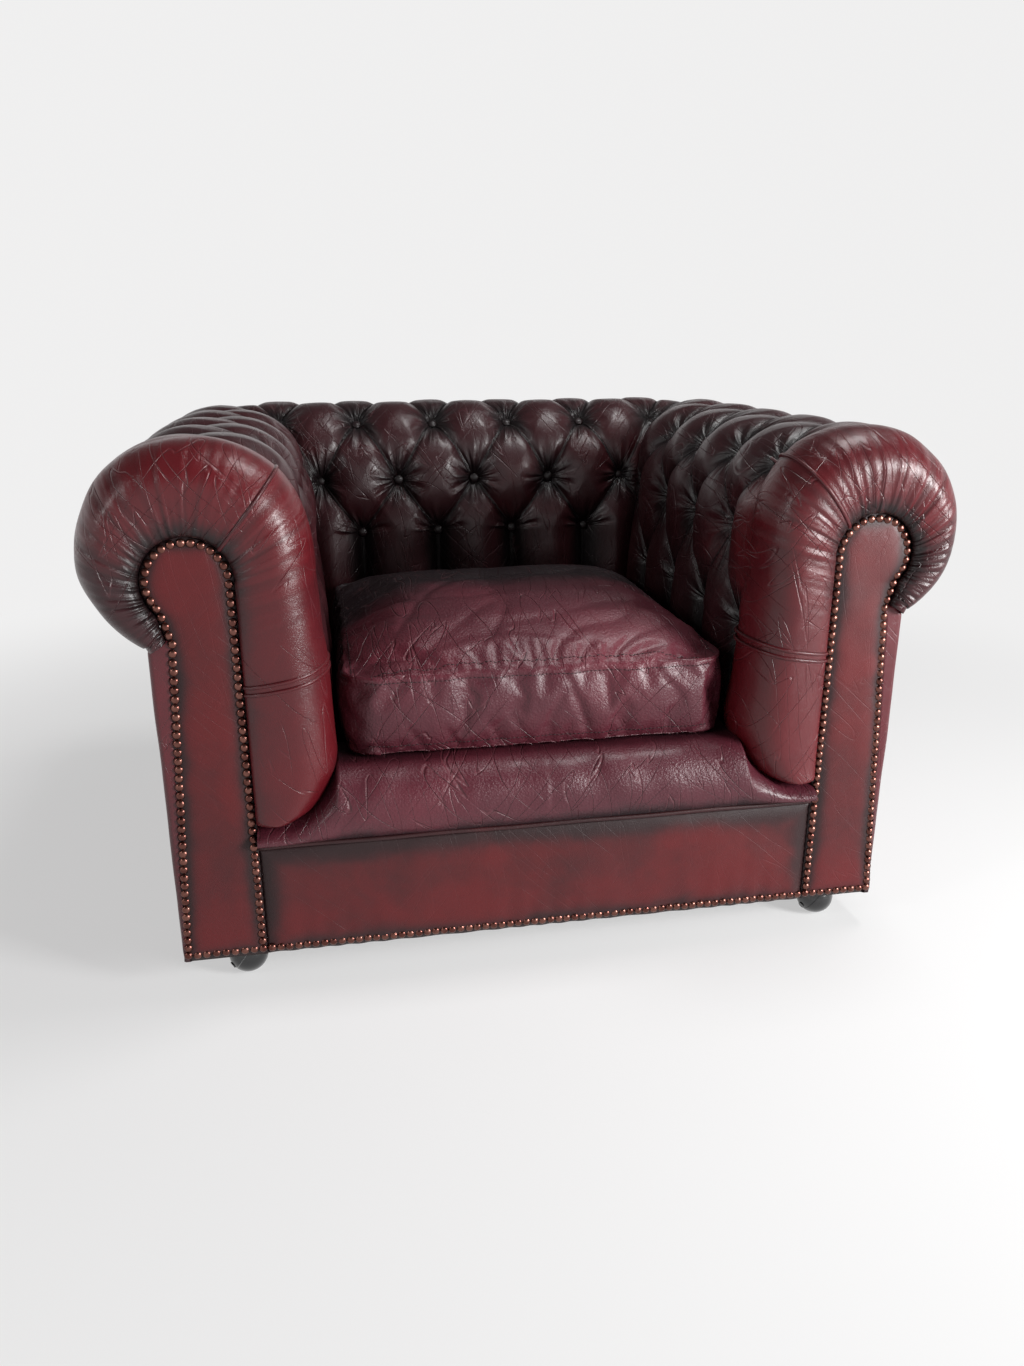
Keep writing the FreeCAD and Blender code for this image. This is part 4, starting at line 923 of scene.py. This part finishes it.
def lip_place(u, v):
    x = between(lip_low[0], lip_high[0], u)
    tucked = math.asin(min(1.0, max(0.0, (seat_half + tuck[0] - abs(x)) / 0.087)))
    top = min(lip_top, tuck[1] - 0.006 + (belly[1] - tuck[1]) * (1 - math.cos(tucked)))
    foot = lip_low[2]
    high = top - foot
    if v < lip_turned:
        turn = between(-0.9, math.pi / 2, v / lip_turned)
        y = front - lip_nose + lip_round * (1 - math.cos(turn))
        z = foot + 0.42 * high + (0.58 if turn > 0 else 0.53) * high * math.sin(turn)
    else:
        y = between(front - lip_nose + lip_round, front + 0.1, (v - lip_turned) / (1 - lip_turned))
        z = top
    point = Vector((x, y, z))
    fold = uneven(Vector((x * 26 + v * 2.4 * math.copysign(1, x), v * 1.2, 0)), 1.0, 3)
    crest = math.sin(min(1.0, v / lip_turned) * math.pi)
    point += Vector((0, -0.6, 0.8)) * (0.0026 * fold * crest + swell(point, 51, 0.0016) * crest)
    # Painted shade: darker at the foot of the roll and where it runs back under the cushion.
    return point, 0.25 + 0.75 * eased(v * 5) * (1 - 0.7 * eased((v - 0.45) / 0.25)), 0.35


lip = sheet_of(260, 60, lip_place)
lip_piece = finished("lip_cover", lip, seat_leather, "seat_leather", "seat_lip")

# Seat deck: leather-covered padding on the webbing, seen only when the loose cushion is lifted out.
# It rises behind the seat lip and at the foot of the arms and the back.
deck_low, deck_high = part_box("seat_deck")


def deck_place(u, v):
    x = between(deck_low[0], deck_high[0], u)
    y = between(deck_low[1], deck_high[1], v)
    beside = min(deck_high[0] - abs(x), deck_high[1] - y)
    z = between(0.213, lip_top - 0.001, eased((beside - 0.072) / 0.052))
    return Vector((x, y, z)), 0.2, 0.0


deck = sheet_of(90, 70, deck_place)
deck_piece = finished("deck_cover", deck, seat_leather, "seat_leather", "seat_deck")

# Loose seat cushion: boxed foam in leather with a crowned top, sewn with a twin-stitched seam round its
# top and a single one round its foot. It lifts out by hand.
cushion_low, cushion_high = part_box("seat_cushion")
cushion_half = 0.246
cushion_box = 0.104
cushion_crown = 0.052
cushion_corner = 0.040
cushion_gap = 0.0004
cushion_trim = 0.012
cushion_mid = (cushion_low[1] + cushion_high[1]) / 2
cushion_deep = (cushion_high[1] - cushion_low[1]) / 2


def corner_rounded(x, y, half_x, half_y, radius):
    """Moves a point of a rectangle into the same rectangle with rounded corners."""
    over_x, over_y = abs(x) - (half_x - radius), abs(y) - (half_y - radius)
    if over_x <= 0 or over_y <= 0:
        return x, y
    share_x, share_y = over_x / radius, over_y / radius
    round_x = share_x * math.sqrt(1 - share_y**2 / 2)
    round_y = share_y * math.sqrt(1 - share_x**2 / 2)
    return (
        math.copysign(half_x - radius + radius * round_x, x),
        math.copysign(half_y - radius + radius * round_y, y),
    )


def crown_at(across, back_share):
    """Height of the crown over the boxing; across is 0 in the middle and 1 at the side."""
    lengthwise = along(
        back_share,
        [(0.0, 0.0), (0.03, 0.16), (0.09, 0.42), (0.18, 0.74), (0.30, 0.95), (0.45, 1.0), (0.65, 0.86),
         (0.82, 0.52), (0.95, 0.14), (1.0, 0.0)],
    )
    return lengthwise * (1 - across**4) ** 0.8


def box_fold(way, height):
    """Depth of the boxing's slanting folds, way being the distance round the cushion."""
    slant = uneven(Vector((way * 15 + height * 11, height * 5, 0)), 1.0, 2.6)
    cross = uneven(Vector((way * 12 - height * 16, height * 6, 4)), 1.0, 8.1)
    level = uneven(Vector((way * 3, height * 3, 9)), 0.4, 1.2)
    sharp = (1 - abs(slant)) ** 3 * 0.6 + (1 - abs(cross)) ** 4 * 0.5
    return sharp * (0.6 + 0.5 * level)


def top_fold(x, y):
    """Depth of the wrinkles that sitting has left across the top."""
    drawn = uneven(Vector((x * 5 + y * 9, y * 6 - x * 2, 0)), 1.0, 5.5)
    crossing = uneven(Vector((x * 11 - y * 7, y * 5 + x * 3, 7)), 1.0, 3.3)
    return (1 - abs(drawn)) ** 4 * 0.7 + (1 - abs(crossing)) ** 5 * 0.6


cushion = bmesh.new()
bmesh.ops.create_grid(cushion, x_segments=120, y_segments=132, size=0.5)
bmesh.ops.translate(cushion, vec=(0, 0, 1), verts=cushion.verts)
bmesh.ops.create_grid(cushion, x_segments=120, y_segments=132, size=0.5)
rims = [edge for edge in cushion.edges if edge.is_boundary]
bmesh.ops.bridge_loops(cushion, edges=rims)
upright = [edge for edge in cushion.edges if abs(edge.verts[0].co.z - edge.verts[1].co.z) > 0.5]
bmesh.ops.subdivide_edges(cushion, edges=upright, cuts=31)
bmesh.ops.recalc_face_normals(cushion, faces=cushion.faces)
layers = [cushion.verts.layers.float.new(name) for name in ("rub_and_shade", "glow")]
levels = {vert: (vert.co.x * 2, vert.co.y * 2, vert.co.z) for vert in cushion.verts}
for vert, (across, lengthwise, level) in levels.items():
    draw = 0.005 * math.cos(lengthwise * math.pi / 2)
    x, y = corner_rounded(
        across * cushion_half, lengthwise * cushion_deep, cushion_half, cushion_deep, cushion_corner
    )
    side = max(abs(across), abs(lengthwise))
    z = cushion_low[2] + cushion_gap + cushion_box * level
    trim = 1 - cushion_trim
    if side > 0.999:
        way = math.atan2(lengthwise, across) * 0.33
        open_share = math.sin(math.pi * level)
        trim += cushion_trim * open_share - 0.010 * box_fold(way, level * 0.10) * open_share**0.6
        trim += 0.004 * math.exp(-(((level - 0.985) / 0.035) ** 2))
    x *= trim - draw / cushion_half
    y *= trim
    if level > 0.999:
        crown = crown_at(abs(across), (lengthwise + 1) / 2)
        rim = 1 - side
        z += cushion_crown * crown - 0.0045 * top_fold(x, y) * eased(rim / 0.10)
        z += 0.0022 * math.exp(-((rim / 0.012) ** 2))
        z -= 0.0014 * eased(rim / 0.02) * (1 - eased((rim - 0.02) / 0.10)) * (
            0.5 + 0.5 * math.sin(260 * (x if abs(lengthwise) > abs(across) else y) + 3 * math.sin(70 * x))
        )
    elif level < 0.001:
        z = cushion_low[2] + cushion_gap + 0.006 * eased((side - 0.92) / 0.08)
    vert.co = (x, cushion_mid + y, z)
cloth_frames = 20
cloth_most = 0.012
relaxed = bpy.data.meshes.new("relaxed")
cushion.to_mesh(relaxed)
stand_in = bpy.data.objects.new("relaxed", relaxed)
scene.collection.objects.link(stand_in)
held = stand_in.vertex_groups.new(name="held")
cushion.verts.index_update()
for vert, (across, lengthwise, level) in levels.items():
    if level < 0.001 or abs(level - 1) < 0.02 and max(abs(across), abs(lengthwise)) > 0.985:
        held.add([vert.index], 1.0, "ADD")
cloth = stand_in.modifiers.new("cloth", "CLOTH")
cloth.settings.quality = 5
cloth.settings.mass = 0.4
cloth.settings.tension_stiffness = 12
cloth.settings.compression_stiffness = 12
cloth.settings.bending_stiffness = 0.8
cloth.settings.use_pressure = True
cloth.settings.uniform_pressure_force = 4
cloth.settings.shrink_min = -0.035
cloth.settings.effector_weights.gravity = 0
cloth.settings.vertex_group_mass = "held"
cloth.collision_settings.use_collision = False
cloth.collision_settings.use_self_collision = False
cloth.point_cache.frame_end = cloth_frames
for number in range(1, cloth_frames + 1):
    scene.frame_set(number)
settled = stand_in.evaluated_get(bpy.context.evaluated_depsgraph_get()).data
for vert in cushion.verts:
    moved = settled.vertices[vert.index].co - vert.co
    if moved.length > cloth_most:
        moved *= cloth_most / moved.length
    vert.co += moved
bpy.data.objects.remove(stand_in)
scene.frame_set(1)
bmesh.ops.smooth_vert(
    cushion, verts=cushion.verts, factor=0.3, use_axis_x=True, use_axis_y=True, use_axis_z=True
)
# Painted shade: the top darkens and loses its red towards the back, where the back and arms shade it.
for vert, (_, _, level) in levels.items():
    behind = eased((vert.co.y - cushion_low[1] - 0.12) / 0.24)
    vert[layers[0]] = 1.0 - 1.4 * behind if level > 0.5 else 0.9
    vert[layers[1]] = 0.55 * (1 - behind) if level > 0.95 else 0.30
cushion_piece = finished(
    "cushion_cover", cushion, seat_leather, "seat_leather", "seat_cushion", body="loose_cushion"
)

# Stitching of the cushion: dark thread, twin rows beside the top seam and one row above the foot.
thread = Finish("thread", Base_Color=(0.020, 0.005, 0.007, 1))
twist = thread.cloud(thread.place(), 900.0, 1.0)
thread.coat(Roughness=0.6 + twist * 0.2, Normal=thread.bump(twist, 0.0002))
stitch_long = 0.0034
stitch_pitch = 0.0050
stitch_thick = 0.0009
stitch_lift = 0.0001
stitch_in = 0.012
stitches = bmesh.new()
straight_x = cushion_half - cushion_corner
front_count = round(2 * straight_x / stitch_pitch)
seam_height = cushion_low[2] + cushion_box
stitch_rows = (seam_height - 0.0065, cushion_low[2] + 0.016)
surface = cushion_piece.data
shell = BVHTree.FromPolygons([v.co for v in surface.vertices], [f.vertices for f in surface.polygons])


def add_stitch(origin, towards, turn):
    """Lays one stitch on the leather where a line from origin meets it."""
    spot, way, _face, _far = shell.ray_cast(Vector(origin), Vector(towards))
    if spot is None:
        return
    made = bmesh.ops.create_cube(stitches, size=1.0)["verts"]
    long_way = way.cross(Vector(turn)).normalized()
    stitch_turn = Matrix((long_way, way.cross(long_way), way)).transposed().to_4x4()
    size = Matrix.Diagonal((stitch_long, stitch_thick, stitch_thick, 1))
    bmesh.ops.transform(
        stitches, matrix=Matrix.Translation(spot + way * stitch_lift) @ stitch_turn @ size, verts=made
    )


for number in range(front_count + 1):
    x = between(-straight_x - 0.01, straight_x + 0.01, number / front_count)
    for sign in (-1, 1):
        origin_y = cushion_mid + sign * (cushion_deep + 0.1)
        for height in stitch_rows:
            add_stitch((x, origin_y, height), (0, -sign, 0), (0, 0, 1))
        edge_y = cushion_mid + sign * (cushion_deep - stitch_in)
        add_stitch((x, edge_y, seam_height + 0.2), (0, 0, -1), (0, 1, 0))
side_count = round(2 * (cushion_deep - cushion_corner) / stitch_pitch)
for number in range(side_count + 1):
    reach_y = cushion_deep - cushion_corner + 0.01
    y = cushion_mid + between(-reach_y, reach_y, number / side_count)
    for sign in (-1, 1):
        for height in stitch_rows:
            add_stitch((sign * (cushion_half + 0.1), y, height), (-sign, 0, 0), (0, 0, 1))
        add_stitch((sign * (cushion_half - stitch_in), y, seam_height + 0.2), (0, 0, -1), (1, 0, 0))
finished("cushion_stitches", stitches, thread.material, "seat_leather", body="loose_cushion")

# Nail heads: domed steel tacks with an antique copper finish, touching one another along the edges of
# the facings, round the arch, and along the foot of the facings and the border.
nail_radius = 0.0054
nail_height = 0.0038
nail_pitch = 0.0108
nail_inset = 0.006
nail_rise = 0.009
nail_finish = Finish("nail_metal", Metallic=1.0)
nail_place = nail_finish.place()
nail_tone = nail_finish.cloud(nail_place, 90.0, 1.0)
nail_finish.coat(
    Base_Color=nail_finish.mix(nail_tone.ramp(0.3, 0.7), (0.11, 0.042, 0.034, 1), (0.20, 0.088, 0.070, 1)),
    Roughness=0.30 + (nail_tone - 0.5) * 0.2,
)


def spaced(points, pitch):
    """Places a pitch apart along a run of points."""
    lengths = [0.0]
    for first, second in zip(points, points[1:]):
        lengths.append(lengths[-1] + (second - first).length)
    count = round(lengths[-1] / pitch)
    places = []
    index = 0
    for number in range(count + 1):
        goal = lengths[-1] * number / count
        while index < len(points) - 2 and lengths[index + 1] < goal:
            index += 1
        share = (goal - lengths[index]) / (lengths[index + 1] - lengths[index])
        places.append(points[index].lerp(points[index + 1], share))
    return places


def add_nails(shape, points):
    for number, place in enumerate(spaced(points, nail_pitch)):
        jitter = Vector((math.sin(number * 2.3), 0, math.cos(number * 1.7))) * 0.0002
        way = Vector((0.05 * math.sin(number * 1.3), -1, 0.05 * math.cos(number * 2.1)))
        add_dome(shape, place + jitter, way, nail_radius, nail_height, rings=4, around=12)


for side_name, side_sign in sides:
    radius = arch_radius - arch_gap - nail_inset
    inner = seat_half + facing_in + nail_inset - 0.001
    outline = [Vector((side_sign * inner, front, skirt + nail_rise))]
    for degrees in range(180, -45, -6):
        turn = math.radians(degrees)
        x = side_sign * (seat_half + arch_out + radius * math.cos(turn))
        outline.append(Vector((x, front, arch_up + radius * math.sin(turn))))
    x = side_sign * (seat_half + neck[0] - nail_inset * 1.1)
    outline.append(Vector((x, front, neck[1] - 0.002)))
    outline.append(Vector((side_sign * (facing_outer - nail_inset), front, skirt + nail_rise)))
    nails = bmesh.new()
    add_nails(nails, outline)
    step_in = Vector((side_sign * nail_pitch, 0, 0))
    add_nails(nails, [outline[0] + step_in, outline[-1] - step_in])
    finished(
        f"nail_heads_{side_name}", nails, nail_finish.material, "nail_metal",
        f"facing_nails_{side_name}",
    )
nails = bmesh.new()
reach = seat_half + facing_in - nail_inset
add_nails(nails, [Vector((x, front, skirt + nail_rise)) for x in (-reach, reach)])
finished("nail_heads_border", nails, nail_finish.material, "nail_metal", "border_nails")

# Ball castors: gloss black hood and ball on a steel axle, turning on a steel stem in its socket.
castor_black = Finish("castor_black", Base_Color=(0.006, 0.006, 0.007, 1))
scuffs = castor_black.cloud(castor_black.place(), 60.0, 4.0)
castor_black.coat(
    Roughness=0.16 + scuffs * 0.16,
    Normal=castor_black.bump(scuffs, 0.0002, 0.4),
    Coat_Weight=0.6,
    Coat_Roughness=0.06,
)
castor_steel = Finish("castor_steel", Base_Color=(0.50, 0.50, 0.51, 1), Metallic=1.0)
brushed = castor_steel.cloud(castor_steel.turned(castor_steel.place(), (1, 1, 30)), 200.0, 2.0)
castor_steel.coat(Roughness=0.22 + brushed * 0.2)

# Frame: sawn beech rails, posts and blocks with hardboard lining boards, hidden under the covers;
# black dust cloth under the seat and woven elastic straps over the rails.
beech = Finish("beech")
growth = beech.cloud(beech.turned(beech.place(), (2, 2, 14)), 9.0, 5.0, 1.2)
beech.coat(
    Base_Color=beech.mix(growth.ramp(0.3, 0.7), (0.42, 0.25, 0.13, 1), (0.62, 0.42, 0.25, 1)),
    Roughness=0.6 + growth * 0.15,
    Normal=beech.bump(growth, 0.0006, 0.5),
)
hardboard = Finish("hardboard")
fibres = hardboard.cloud(hardboard.place(), 240.0, 3.0)
hardboard.coat(
    Base_Color=hardboard.mix(fibres, (0.16, 0.085, 0.045, 1), (0.26, 0.15, 0.085, 1)),
    Roughness=0.55 + fibres * 0.2,
    Normal=hardboard.bump(fibres, 0.0003),
)


def woven(name, dark, light, threads):
    finish = Finish(name)
    place = finish.place()
    warp = finish.node("ShaderNodeTexWave", {"bands_direction": "X"}, {"Vector": place, "Scale": threads})
    weft = finish.node("ShaderNodeTexWave", {"bands_direction": "Y"}, {"Vector": place, "Scale": threads})
    finish.coat(
        Base_Color=finish.mix(warp * weft, dark, light),
        Roughness=0.8 + warp * 0.1,
        Normal=finish.bump(warp + weft, 0.0003),
    )
    return finish.material


webbing = woven("webbing", (0.02, 0.02, 0.02, 1), (0.10, 0.10, 0.10, 1), 160.0)
dust_cloth = woven("dust_cloth", (0.006, 0.006, 0.006, 1), (0.022, 0.022, 0.022, 1), 220.0)
finish_of_slot = {
    "beech": beech.material,
    "hardboard": hardboard.material,
    "webbing": webbing,
    "dust_cloth": dust_cloth,
    "castor_black": castor_black.material,
    "castor_steel": castor_steel.material,
}
for entry in frame["record"]["subparts"]:
    if entry["material_slot"] in finish_of_slot:
        node = frame["nodes"][entry["node"]]
        for slot in node.material_slots:
            slot.material = finish_of_slot[entry["material_slot"]]
